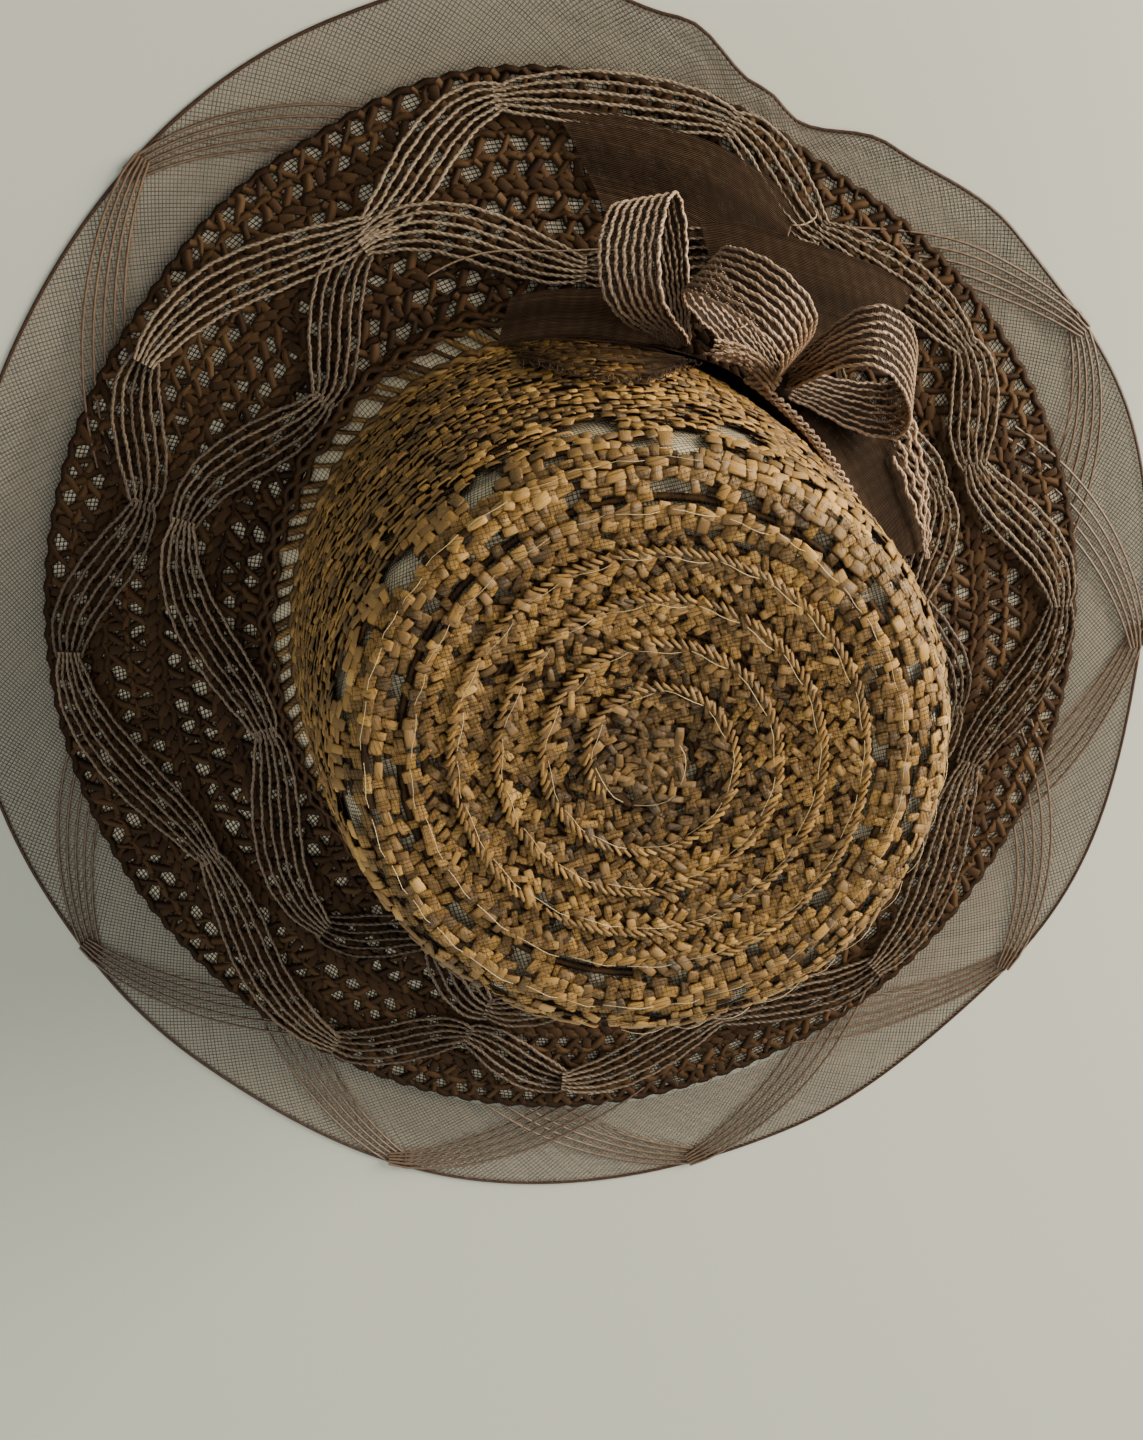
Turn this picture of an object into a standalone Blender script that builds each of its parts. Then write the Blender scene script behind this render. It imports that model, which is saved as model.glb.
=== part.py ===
"""Sun hat: an openwork golden straw crown on a dark lace-straw brim, a sheer crin veil under the brim
that stands out past it as a border, two zigzag crin swags on the brim, and a crin band with a bow.

The origin is on the floor under the centre of the head opening. The brim rests on Z = 0, -Y is the wearer's
front and +X is the wearer's left. Lengths are in metres and angles in degrees.
"""

import math

import bmesh
import bpy
from mathutils import Vector

# Head opening and crown
HEAD_WIDTH = 0.178  # outside of the crown at its base, ear to ear
HEAD_DEPTH = 0.198  # outside of the crown at its base, front to back
CROWN_TALL = 0.110  # from the crown's base to the flat of its tip
SHOULDER_WIDTH = 0.162
SHOULDER_DEPTH = 0.160
SHOULDER_ROUND = 0.014
WALL_BULGE = 0.003  # how far the wall swells outwards half way up
LEAN_LEFT = 0.010  # how far the tip's centre stands to the wearer's left of the base's centre
LEAN_FRONT = 0.003
TIP_DOME = 0.002
TIP_STEP = 0.0008  # one sewn row of the tip standing proud of the row outside it
CROWN_WALL = 0.002
LINING_WALL = 0.001

# Brim and border
HEAD_RISE = 0.0104  # underside of the brim's seat above the floor
EDGE_RISE = 0.0017  # the same under the dark brim's edge
BRIM_REACH = 0.1715  # from the centre to the dark straw's edge
BORDER_REACH = 0.200  # from the centre to the sheer border's edge
BRIM_WALL = 0.002
VEIL_WALL = 0.001
SEAT_MARGIN = 0.004  # flat of the brim outside the crown's wall
FLAT_SHARE = 0.45  # outer part of the border that lies flat on the floor

# Swags: the ribbed edges of crin ribbon, laid in zigzags on the brim
SWAG_WIDTH = 0.013
SWAG_PINCH = 0.008  # the same where the ribs are gathered at a turn
SWAG_WALL = 0.0012
SWAG_TURN = 8  # the turn round the hat in which the ribs spread out again

# Band round the crown's foot, and the bow
BAND_TALL = 0.016
BAND_WALL = 0.0012
BAND_FLARE = 0.004  # how far the band's upper edge stands off the crown beside the bow
FLARE_SPAN = 30  # the turn in which the band opens out to that
BAND_FROM = 80
BAND_TO = -27
TAIL_WALL = 0.0025
TAIL_TALL = 0.0035
FRAY_TALL = 0.008  # the tail's cut end beside the knot
FRAY_TO = 43
TAIL_FROM = 55
TAIL_TO = 4
BOW_ANGLE = 40.5
BOW_RISE = 0.011  # the knot's centre above the crown's base
KNOT_RADIUS = 0.0055
LOOP_LENGTH = 0.046
LOOP_HEIGHT = 0.040
RIBBON_WIDTH = 0.020
RIBBON_WALL = 0.001
RIBBON_PINCH = 0.25  # share of its width that the ribbon keeps where it is gathered
LOOP_FULLNESS = 0.65  # how far the loop's two sides swing out from its middle line
UPPER_SHARE = 0.35  # share of the ribbon's width above the loop's middle line

# Gap between pieces that touch
GAP = 0.0003

# Counts
CROWN_COLUMNS = 36
BRIM_COLUMNS = 60
SWAG_COLUMNS = 120
CROWN_ROWS = 8
LINING_ROWS = 2
ROUND_ROWS = 3
TIP_ROWS = 4
BRIM_ROWS = 6
LOOP_STEPS = 18
CROWN_HOLE_ROWS = (1, 7)
CROWN_HOLE_EVERY = 3
BRIM_HOLE_ROWS = (1, 3, 5)
BRIM_HOLE_EVERY = 2
HOLE_SHARE = 0.8  # how much of its cell an opening takes

# Dark brim's edge. Columns: angle, reach as a share of BRIM_REACH
BRIM_EDGE = (
    (5, 0.980), (45, 0.972), (63, 1.010), (88, 1.040), (106, 1.020), (130, 0.995),
    (190, 0.990), (250, 1.005), (286, 0.990), (320, 0.978),
)

# Sheer border's edge, with its one deep notch. Columns: angle, reach as a share of BORDER_REACH
BORDER_EDGE = (
    (5, 0.974), (28, 0.945), (43, 0.912), (52, 0.874), (57, 0.900), (66, 0.965), (80, 1.020),
    (96, 1.012), (137, 0.985), (190, 0.990), (214, 1.000), (246, 1.030), (278, 1.015),
    (300, 0.996), (312, 1.000), (342, 0.964),
)

# Lines of the swags. Columns: angle, place as a share of the way from the seat to the dark edge
OUTER_SWAG = (
    (9, 0.62), (23, 0.82), (45, 0.74), (59, 0.92), (83, 0.88), (101, 0.62), (130, 0.86),
    (146, 0.64), (166, 0.90), (195, 0.62), (224, 0.91), (240, 0.62), (254, 0.82),
    (275, 0.62), (297, 0.86), (326, 0.62), (349, 0.91),
)
INNER_SWAG = (
    (8, 0.42), (28, 0.24), (50, 0.45), (75, 0.22), (102, 0.46), (120, 0.16), (147, 0.46),
    (180, 0.15), (213, 0.44), (229, 0.20), (242, 0.45), (263, 0.22), (292, 0.44),
    (312, 0.24), (334, 0.45), (352, 0.24),
)

# Bow loops. Columns: name, angle round the crown, radius of what gathers it, length as a share of
# LOOP_LENGTH, height as a share of LOOP_HEIGHT, width as a share of RIBBON_WIDTH, where it points
# (compass, rise), where its lower edge lies from its upper edge (compass, dip)
BOW_LOOPS = (
    ("bow_loop_right", BOW_ANGLE, KNOT_RADIUS, 0.88, 0.92, 1.10, -12, 24, 62, 34),
    ("bow_loop_middle", BOW_ANGLE, KNOT_RADIUS, 1.02, 0.80, 0.90, 106, 38, 30, 15),
    ("bow_loop_left", 58, 0.0012, 0.98, 0.92, 0.90, 104, 22, 176, 22),
)

for old in list(bpy.data.objects):
    bpy.data.objects.remove(old)


def material(name, red, green, blue, roughness):
    """A plain finish; the colour is linear."""
    made = bpy.data.materials.new(name)
    made.use_nodes = True
    shader = made.node_tree.nodes["Principled BSDF"]
    shader.inputs["Base Color"].default_value = (red, green, blue, 1)
    shader.inputs["Roughness"].default_value = roughness
    return made


def add_object(name, mesh_builder, finish):
    """Close the mesh, turn its faces outwards and link it as one object."""
    bmesh.ops.recalc_face_normals(mesh_builder, faces=mesh_builder.faces)
    mesh = bpy.data.meshes.new(name)
    mesh_builder.to_mesh(mesh)
    mesh_builder.free()
    mesh.materials.append(finish)
    mesh.shade_smooth()
    mesh.set_sharp_from_angle(angle=math.radians(40))
    made = bpy.data.objects.new(name, mesh)
    bpy.context.collection.objects.link(made)
    return made


def mix(start, end, share):
    return start + (end - start) * share


def table_value(table, angle):
    """Read a closed table of (angle, value) rows, easing from each row to the next."""
    angle = angle % 360
    for row, (start, value) in enumerate(table):
        end, following = table[(row + 1) % len(table)]
        span = (end - start) % 360
        along = (angle - start) % 360
        if along < span:
            eased = (1 - math.cos(math.pi * along / span)) / 2
            return mix(value, following, eased)
    return table[0][1]


def oval(half_x, half_y, angle):
    """Distance from an oval's centre to its edge at an angle."""
    turn = math.radians(angle)
    return 1 / math.hypot(math.cos(turn) / half_x, math.sin(turn) / half_y)


def polar(angle, radius, height, centre=(0, 0)):
    turn = math.radians(angle)
    return Vector((centre[0] + radius * math.cos(turn), centre[1] + radius * math.sin(turn), height))


def column_angles(count):
    return [360 * column / count for column in range(count)]


def sheet(name, lower, upper, finish, holes=(), closed=True, capped=False):
    """A solid between two grids of points with the same rows and columns.

    Cells named in holes are cut through as diamonds. closed joins the last column to the first, and
    capped closes the last row with a flat face.
    """
    builder = bmesh.new()
    skins = [[[builder.verts.new(point) for point in row] for row in grid] for grid in (lower, upper)]
    rows = len(lower)
    columns = len(lower[0])
    cells = columns if closed else columns - 1

    def corners(skin, row, column):
        following = (column + 1) % columns
        return (skin[row][column], skin[row][following], skin[row + 1][following], skin[row + 1][column])

    for row in range(rows - 1):
        for column in range(cells):
            if (row, column) not in holes:
                for skin in skins:
                    builder.faces.new(corners(skin, row, column))
                continue
            rims = []
            for skin in skins:
                cell = corners(skin, row, column)
                middle = sum((corner.co for corner in cell), Vector()) / 4
                rim = []
                for side in range(4):
                    half_way = (cell[side].co + cell[(side + 1) % 4].co) / 2
                    rim.append(builder.verts.new(middle.lerp(half_way, HOLE_SHARE)))
                for side in range(4):
                    builder.faces.new((cell[side], cell[(side + 1) % 4], rim[side]))
                    builder.faces.new((cell[side], rim[side], rim[side - 1]))
                rims.append(rim)
            for side in range(4):
                after = (side + 1) % 4
                builder.faces.new((rims[0][side], rims[0][after], rims[1][after], rims[1][side]))

    for row in (0, rows - 1):
        if capped and row:
            for skin in skins:
                builder.faces.new(skin[row])
            continue
        for column in range(cells):
            following = (column + 1) % columns
            builder.faces.new(
                (skins[0][row][column], skins[0][row][following], skins[1][row][following],
                 skins[1][row][column])
            )
    if not closed:
        for column in (0, columns - 1):
            for row in range(rows - 1):
                builder.faces.new(
                    (skins[0][row][column], skins[0][row + 1][column], skins[1][row + 1][column],
                     skins[1][row][column])
                )
    return add_object(name, builder, finish)


# Heights that the pieces share
veil_seat_top = HEAD_RISE + VEIL_WALL
brim_seat_top = veil_seat_top + GAP + BRIM_WALL
CROWN_BASE = brim_seat_top + GAP


def crown_section(climb, inset):
    """Height, half width, half depth and centre of the crown, climb being the share of its height."""
    swell = WALL_BULGE * math.sin(math.pi * climb) - inset
    return (
        CROWN_BASE + CROWN_TALL * climb,
        mix(HEAD_WIDTH, SHOULDER_WIDTH, climb) / 2 + swell,
        mix(HEAD_DEPTH, SHOULDER_DEPTH, climb) / 2 + swell,
        (LEAN_LEFT * climb, -LEAN_FRONT * climb),
    )


def crown_point(section, angle):
    height, half_x, half_y, centre = section
    return polar(angle, oval(half_x, half_y, angle), height, centre)


def crown_profile(inset, wall_rows, tip_rows, step):
    """Sections of the crown from its base to the middle of its tip, inset evenly from the outside.

    Each sewn row of the tip stands proud of the row outside it by step.
    """
    straight = 1 - SHOULDER_ROUND / CROWN_TALL
    sections = [crown_section(straight * row / wall_rows, inset) for row in range(wall_rows + 1)]
    bend = SHOULDER_ROUND - inset
    for row in range(1, ROUND_ROWS + 1):
        turn = math.pi / 2 * row / ROUND_ROWS
        height, half_x, half_y, centre = crown_section(straight, inset + bend * (1 - math.cos(turn)))
        sections.append((height + bend * math.sin(turn), half_x, half_y, centre))
    rim_height, rim_x, rim_y, centre = sections[-1]
    for row in range(1, tip_rows + 1):
        crest = 1 - row / (tip_rows + 0.5)
        for share, drop in ((crest + 0.15 / tip_rows, step), (crest, 0)):
            dome = TIP_DOME * (1 - share * share)
            sections.append((rim_height + dome - drop, rim_x * share, rim_y * share, centre))
    return sections


def crown_skin(inset, wall_rows, tip_rows, step=0):
    angles = column_angles(CROWN_COLUMNS)
    sections = crown_profile(inset, wall_rows, tip_rows, step)
    return [[crown_point(section, angle) for angle in angles] for section in sections]


def make_crown():
    holes = set()
    for turn, row in enumerate(CROWN_HOLE_ROWS):
        for column in range(turn, CROWN_COLUMNS, CROWN_HOLE_EVERY):
            holes.add((row, column))
    outside = crown_skin(0, CROWN_ROWS, TIP_ROWS, TIP_STEP)
    inside = crown_skin(CROWN_WALL, CROWN_ROWS, TIP_ROWS)
    finish = material("golden_straw", 0.43, 0.25, 0.07, 0.5)
    return sheet("crown", inside, outside, finish, holes, capped=True)


def make_lining():
    outside = crown_skin(CROWN_WALL + GAP, LINING_ROWS, 1)
    inside = crown_skin(CROWN_WALL + GAP + LINING_WALL, LINING_ROWS, 1)
    finish = material("pale_crin_net", 0.30, 0.29, 0.25, 0.7)
    return sheet("crown_lining", inside, outside, finish, capped=True)


def seat_radius(angle):
    return oval(HEAD_WIDTH / 2 + SEAT_MARGIN, HEAD_DEPTH / 2 + SEAT_MARGIN, angle)


def opening_radius(angle):
    inset = CROWN_WALL + GAP + LINING_WALL
    return oval(HEAD_WIDTH / 2 - inset, HEAD_DEPTH / 2 - inset, angle)


def brim_radius(angle):
    return BRIM_REACH * table_value(BRIM_EDGE, angle)


def border_radius(angle):
    return BORDER_REACH * table_value(BORDER_EDGE, angle)


def brim_point(angle, share, lift):
    """A point over the brim, share of the way from the seat to the dark edge.

    lift is its height above the veil's underside.
    """
    radius = mix(seat_radius(angle), brim_radius(angle), share)
    return polar(angle, radius, mix(HEAD_RISE, EDGE_RISE, share) + lift)


def brim_skin(shares, lift):
    angles = column_angles(BRIM_COLUMNS)
    seat = [polar(angle, opening_radius(angle), HEAD_RISE + lift) for angle in angles]
    return [seat] + [[brim_point(angle, share, lift) for angle in angles] for share in shares]


def make_brim():
    shares = [row / BRIM_ROWS for row in range(BRIM_ROWS + 1)]
    holes = set()
    for turn, row in enumerate(BRIM_HOLE_ROWS):
        for column in range(turn % BRIM_HOLE_EVERY, BRIM_COLUMNS, BRIM_HOLE_EVERY):
            holes.add((row + 1, column))
    under = VEIL_WALL + GAP
    finish = material("dark_lace_straw", 0.045, 0.022, 0.013, 0.6)
    return sheet("brim", brim_skin(shares, under), brim_skin(shares, under + BRIM_WALL), finish, holes)


def make_veil():
    skins = []
    for lift in (0, VEIL_WALL):
        skin = brim_skin((0, 1), lift)
        for share in (1 - FLAT_SHARE, 1):
            skin.append(
                [polar(angle, mix(brim_radius(angle), border_radius(angle), share), lift)
                 for angle in column_angles(BRIM_COLUMNS)]
            )
        skins.append(skin)
    finish = material("sheer_crin", 0.17, 0.14, 0.12, 0.6)
    return sheet("brim_veil", skins[0], skins[1], finish)


def swag_half_width(table, angle):
    """Half the swag's width as a share of the brim: narrow where the ribs are gathered at a turn."""
    nearest = min(abs((angle - turn + 180) % 360 - 180) for turn, _ in table)
    opened = min(1, nearest / SWAG_TURN)
    width = mix(SWAG_PINCH, SWAG_WIDTH, opened)
    return width / 2 / (brim_radius(angle) - seat_radius(angle))


def make_swag(name, table, finish):
    under = VEIL_WALL + GAP + BRIM_WALL + GAP
    skins = []
    for lift in (under, under + SWAG_WALL):
        rows = []
        for side in (-1, 1):
            row = []
            for angle in column_angles(SWAG_COLUMNS):
                share = table_value(table, angle) + side * swag_half_width(table, angle)
                row.append(brim_point(angle, share, lift))
            rows.append(row)
        skins.append(rows)
    return sheet(name, skins[0], skins[1], finish)


def band_flare(angle, height):
    """How far the band stands off the crown: most at its upper edge, nothing at its foot and plain end."""
    opened = min(1, max(0, (BAND_FROM - angle) / FLARE_SPAN))
    return BAND_FLARE * opened * min(1, height / BAND_TALL)


def wall_strip(name, start, end, rows, wall, finish):
    """A strip round the crown's foot. Each row is a function of the angle: its height above the base."""
    step = 360 / CROWN_COLUMNS
    first = round(end / step)
    last = round(start / step)
    skins = []
    for depth in (0, wall):
        grid = []
        for level in rows:
            row = []
            for column in range(first, last + 1):
                angle = column * step
                height = level(angle)
                stand_off = GAP + band_flare(angle, height) + depth
                row.append(crown_point(crown_section(height / CROWN_TALL, -stand_off), angle))
            grid.append(row)
        skins.append(grid)
    return sheet(name, skins[0], skins[1], finish, closed=False)


def make_band(finish):
    return wall_strip(
        "crown_band", BAND_FROM, BAND_TO, (lambda angle: 0, lambda angle: BAND_TALL), BAND_WALL, finish
    )


def make_tail(finish):
    foot = BAND_TALL + GAP

    def top(angle):
        if angle > FRAY_TO:
            return foot + FRAY_TALL
        return foot + TAIL_TALL

    return wall_strip("bow_tail", TAIL_FROM, TAIL_TO, (lambda angle: foot, top), TAIL_WALL, finish)


def bow_centre(angle, radius):
    """The middle of what gathers a loop, of that radius, seated on the band's outside."""
    stand_off = GAP + band_flare(angle, BOW_RISE) + BAND_WALL + GAP + radius
    return crown_point(crown_section(BOW_RISE / CROWN_TALL, -stand_off), angle)


def make_knot(finish):
    builder = bmesh.new()
    bmesh.ops.create_uvsphere(builder, u_segments=12, v_segments=6, radius=KNOT_RADIUS)
    bmesh.ops.translate(builder, verts=builder.verts, vec=bow_centre(BOW_ANGLE, KNOT_RADIUS))
    return add_object("bow_knot", builder, finish)


def compass(heading, rise):
    turn = math.radians(heading)
    lift = math.radians(rise)
    return Vector((math.cos(turn) * math.cos(lift), math.sin(turn) * math.cos(lift), math.sin(lift)))


def make_loop(row, finish):
    """One loop of ribbon: a teardrop that starts and ends at the knot, with its width gathered there."""
    name, place, hold, long, tall, wide, heading, rise, lean, dip = row
    length = LOOP_LENGTH * long
    height = LOOP_HEIGHT * tall
    width = RIBBON_WIDTH * wide
    across = compass(lean, -dip)
    outward = compass(heading, rise)
    outward = (outward - across * outward.dot(across)).normalized()
    upward = across.cross(outward)
    centre = bow_centre(place, hold)

    def middle_line(share):
        reach = math.sin(math.pi * share)
        swing = LOOP_FULLNESS * math.sin(2 * math.pi * share) * reach ** 0.3
        return centre + outward * (length * reach) + upward * (height * swing)

    tiny = 0.001
    start = 0
    while (middle_line(start) - centre).length < hold:
        start += tiny

    skins = []
    for side in (-0.5, 0.5):
        grid = []
        for edge in (-UPPER_SHARE, 1 - UPPER_SHARE):
            points = []
            for step in range(LOOP_STEPS + 1):
                share = mix(start, 1 - start, step / LOOP_STEPS)
                ahead = (middle_line(share + tiny) - middle_line(share - tiny)).normalized()
                opened = mix(RIBBON_PINCH, 1, math.sin(math.pi * share) ** 0.7)
                normal = ahead.cross(across).normalized()
                points.append(
                    middle_line(share) + across * (edge * width * opened) + normal * (side * RIBBON_WALL)
                )
            grid.append(points)
        skins.append(grid)
    return sheet(name, skins[0], skins[1], finish, closed=False)


make_crown()
make_lining()
make_brim()
make_veil()
ribs = material("taupe_ribs", 0.26, 0.17, 0.12, 0.5)
make_swag("outer_swag", OUTER_SWAG, ribs)
make_swag("inner_swag", INNER_SWAG, ribs)
brown_crin = material("brown_crin", 0.06, 0.03, 0.022, 0.5)
make_band(brown_crin)
make_tail(ribs)
make_knot(brown_crin)
for loop_row in BOW_LOOPS:
    make_loop(loop_row, ribs)
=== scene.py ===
"""Looks of the sun hat: plaited golden straw over a pale lining, a dark lace-straw brim, sheer crin
under it, zigzag swags of twisted cords, and a bow of ribbed crin ribbon.

Lengths are in metres and angles in degrees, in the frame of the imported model: the floor is Z = 0,
-Y is the wearer's front and +X the wearer's left.
"""

import math

import bpy
import numpy as np
from mathutils import Matrix, Vector


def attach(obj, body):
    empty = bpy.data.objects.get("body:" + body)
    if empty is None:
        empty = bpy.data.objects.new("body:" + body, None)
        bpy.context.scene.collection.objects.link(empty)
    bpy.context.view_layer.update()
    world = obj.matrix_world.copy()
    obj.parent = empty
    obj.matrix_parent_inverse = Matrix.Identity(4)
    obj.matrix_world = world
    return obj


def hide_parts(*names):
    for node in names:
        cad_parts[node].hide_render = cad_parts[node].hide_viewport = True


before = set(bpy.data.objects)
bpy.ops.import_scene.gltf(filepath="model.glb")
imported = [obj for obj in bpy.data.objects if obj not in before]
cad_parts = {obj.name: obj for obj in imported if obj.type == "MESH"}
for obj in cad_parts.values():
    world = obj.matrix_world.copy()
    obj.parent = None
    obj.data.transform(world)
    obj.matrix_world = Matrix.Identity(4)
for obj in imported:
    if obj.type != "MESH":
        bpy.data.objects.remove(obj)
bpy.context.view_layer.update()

chance = np.random.default_rng(7)

# Sizes of the hat, as in the model that the frame was packed from
HEAD_WIDTH = 0.178
HEAD_DEPTH = 0.198
CROWN_TALL = 0.110
SHOULDER_WIDTH = 0.162
SHOULDER_DEPTH = 0.160
SHOULDER_ROUND = 0.014
WALL_BULGE = 0.003
LEAN_LEFT = 0.010
LEAN_FRONT = 0.003
TIP_DOME = 0.002
HEAD_RISE = 0.0104
EDGE_RISE = 0.0017
BRIM_REACH = 0.1715
BORDER_REACH = 0.200
BRIM_WALL = 0.002
VEIL_WALL = 0.001
SEAT_MARGIN = 0.004
FLAT_SHARE = 0.45
GAP = 0.0003
BAND_TALL = 0.016
BAND_WALL = 0.0012
BAND_FLARE = 0.004
FLARE_SPAN = 30
BAND_FROM = 80
BAND_TO = -27
TAIL_TALL = 0.0035
FRAY_TALL = 0.008
FRAY_TO = 43
TAIL_FROM = 55
TAIL_TO = 4
BOW_ANGLE = 40.5
BOW_RISE = 0.011
KNOT_RADIUS = 0.0055
LOOP_LENGTH = 0.046
LOOP_HEIGHT = 0.040
RIBBON_WIDTH = 0.020
RIBBON_PINCH = 0.25
LOOP_FULLNESS = 0.65
UPPER_SHARE = 0.35
CROWN_BASE = HEAD_RISE + VEIL_WALL + GAP + BRIM_WALL + GAP
HEAD_MEAN = (HEAD_WIDTH + HEAD_DEPTH) / 4
SEAT_MEAN = HEAD_MEAN + SEAT_MARGIN
SHOULDER_MEAN = (SHOULDER_WIDTH + SHOULDER_DEPTH) / 4
UP = np.array((0.0, 0.0, 1.0))

# Dark brim's edge. Columns: angle, reach as a share of BRIM_REACH
BRIM_EDGE = (
    (5, 0.980), (45, 0.972), (63, 1.010), (88, 1.040), (106, 1.020), (130, 0.995),
    (190, 0.990), (250, 1.005), (286, 0.990), (320, 0.978),
)

# Sheer border's edge. Columns: angle, reach as a share of BORDER_REACH
BORDER_EDGE = (
    (5, 0.974), (28, 0.945), (43, 0.912), (52, 0.874), (57, 0.900), (66, 0.965), (80, 1.020),
    (96, 1.012), (137, 0.985), (190, 0.990), (214, 1.000), (246, 1.030), (278, 1.015),
    (300, 0.996), (312, 1.000), (342, 0.964),
)

# Bow loops. Columns: name, angle round the crown, radius of what gathers it, length as a share of
# LOOP_LENGTH, height as a share of LOOP_HEIGHT, width as a share of RIBBON_WIDTH, where it points
# (compass, rise), where its lower edge lies from its upper edge (compass, dip)
BOW_LOOPS = (
    ("bow_loop_right", BOW_ANGLE, KNOT_RADIUS, 0.88, 0.92, 1.10, -12, 24, 62, 34),
    ("bow_loop_middle", BOW_ANGLE, KNOT_RADIUS, 1.02, 0.80, 0.90, 106, 38, 30, 15),
    ("bow_loop_left", 58, 0.0012, 0.98, 0.92, 0.90, 104, 22, 176, 22),
)

# Swags. Columns: angle, place from the seat to the dark edge, how pale the ribs are from there on, low
# values being painted shade where ribs lie under paler ones
OUTER_SWAG = (
    (9, 0.62, 0.60), (23, 0.82, 0.60), (45, 0.74, 0.70), (59, 0.92, 0.75), (83, 0.88, 0.80),
    (101, 0.58, 0.75), (130, 0.86, 0.15), (146, 0.64, 0.10), (166, 0.90, 0.50), (195, 0.62, 0.55),
    (224, 0.91, 0.15), (240, 0.62, 0.15), (254, 0.82, 0.50), (275, 0.62, 0.15), (297, 0.86, 0.45),
    (326, 0.62, 0.15), (349, 0.91, 0.55),
)
INNER_SWAG = (
    (8, 0.42, 0.50), (28, 0.24, 0.30), (50, 0.45, 0.20), (75, 0.22, 0.80), (102, 0.53, 0.15),
    (120, 0.16, 0.30), (147, 0.46, 0.60), (180, 0.15, 0.55), (213, 0.44, 0.10), (229, 0.20, 0.20),
    (242, 0.45, 0.15), (263, 0.22, 0.35), (292, 0.44, 0.15), (312, 0.24, 0.35), (334, 0.45, 0.15),
    (352, 0.24, 0.50),
)

# Straw plait of the crown: one row sewn in a spiral from the base to the middle of the tip. A straw's
# size is its length, width and height, and a climb is the way up the crown's surface from its base
PLAIT_WIDTH = 0.0118
WALL_LANES = 4
WALL_PITCH = 0.0033  # between the straws of a lane
WALL_STRAW = (0.0048, 0.0033, 0.0004)
TIP_LANES = 6
TIP_PITCH = 0.0034
TIP_STRAW = (0.0047, 0.0026, 0.0004)
UNDER_STRAW = (0.0026, 0.0005)  # width and height of the darker straws below
UNDER_DEPTH = 0.0008
WALL_STEP = 0.0007  # how far a row's lower edge stands over the row below, on the wall
TIP_STEP = 0.0020  # the same on the tip
EDGE_PITCH = 0.0023
EDGE_STRAW = (0.0040, 0.0010, 0.0006)
EDGE_LEAN = -28
EDGES_FROM = 0.127  # climbs between which the rows' twisted edges stand out
EDGES_TO = 0.172
MIDDLE_STRAWS = 54  # straws that close the middle of the tip
MIDDLE_STRAW = (0.0042, 0.0021, 0.0004)
MIDDLE_REACH = 0.0085
# Painted shade: the tip's straws darken towards its middle, and the wall's below OPEN_FROM over FOOT_SPAN.
CENTRE_FROM = 0.150  # climb from which the tip darkens towards its middle
CENTRE_SPAN = 0.030
FOOT_SPAN = 0.04  # climb over which the wall darkens below OPEN_FROM
DARK_FROM = 0.070  # climb above which straws are missing here and there over the darker ones
SLITS_FROM = 0.045
OPEN_FROM = 0.098  # climb above which the plait is openwork
STITCHES_FROM = 0.104
STITCH_RISE = 0.0016  # how far above a row's lower edge its stitches run
THREAD = 0.00018
BIAS = 44.0  # turn of the tip's straws from the row's run

WINDOW_HALF_TALL = 0.0078
WINDOW_HALF_WIDE = 0.0064

# Windows in the plait under the shoulder. Columns: angle, climb of the middle
WINDOWS = (
    (57, 0.0880), (68, 0.1000), (83, 0.0935), (106, 0.1005), (128, 0.1030), (152, 0.0990), (176, 0.1010),
    (200, 0.0970), (224, 0.1010), (248, 0.0980), (272, 0.1000), (296, 0.0975), (320, 0.1000),
)

# The open row at the crown's foot, which spreads over the brim where no band lies
SKIRT_TALL = 0.0085
SKIRT_PLACE = 0.055  # where its edge lies, from the seat to the dark edge
SKIRT_FROM = 84
SKIRT_TO = 331
SKIRT_EVERY = 0.0058
SKIRT_SLANT = 4.4
SKIRT_STRAW = (0.0024, 0.0006)
SKIRT_EDGE = (0.0026, 0.0008)

# Nets
LINING_DEPTH = -0.0016
LINING_REACH = 0.112  # from the middle of the tip, over its surface
OVER_REACH = 0.080
OVER_THREAD = 0.00012
LINING_SPACING = 0.0013
MESH = 0.0011  # opening of the dark net over the crown and its lining
MESH_STEP = 0.0030
MESH_THREAD = 0.00017
UNDER_THREAD = 0.00034
UNDER_EDGE = 0.985
VEIL_STRANDS = 700
VEIL_INNER = 0.70  # place, from the seat to the border's edge, from which every strand is there
VEIL_THREAD = 0.00036
STEP_LONG = 0.009  # length of one straight piece of a net's thread

# Drawn ribs of the border, gathered at these angles
BORDER_TURNS = (17, 117, 198, 237, 268, 307, 344)
BORDER_SWEEP = 26  # angle that a rib's arc covers
BORDER_DEPTH = 0.42  # share of the way to the seat that it reaches inwards
BORDER_RIBS = 5
BORDER_BUNDLE = 0.0170
BORDER_RIB = 0.0009
BORDER_WIRE = (0.0012, 0.0008)

# Twisted cords of the swags and the bow
CORD = 0.0016
PLY = 0.0011
CORD_PITCH = 0.0050
CORD_STEP = 0.0013
SWAG_LIFT = 0.0010
SWAG_OVER = 0.0012  # how far the paler stretches lie over the darker ones
SWAG_RIBS = 6
SWAG_SPREAD = 0.0150
SWAG_GATHER = 0.42  # share of that where the cords are gathered
LOOP_RIBS = 8
LOOP_CORD = 0.84  # how thick a loop's cords are against the swags'
LOOP_START = 0.012  # share of a loop's ribbon that the knot hides at each end

# Drawn threads of crin: width and height
BAND_THREAD = (0.00062, 0.0004)
LOOP_THREAD = (0.00034, 0.00016)
KNOT_THREAD = (0.0007, 0.0009)
FOLD_THREAD = (0.00042, 0.00008)
LOOSE_THREAD = (0.00055, 0.00055)
CURL_THREAD = (0.00036, 0.00036)

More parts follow.
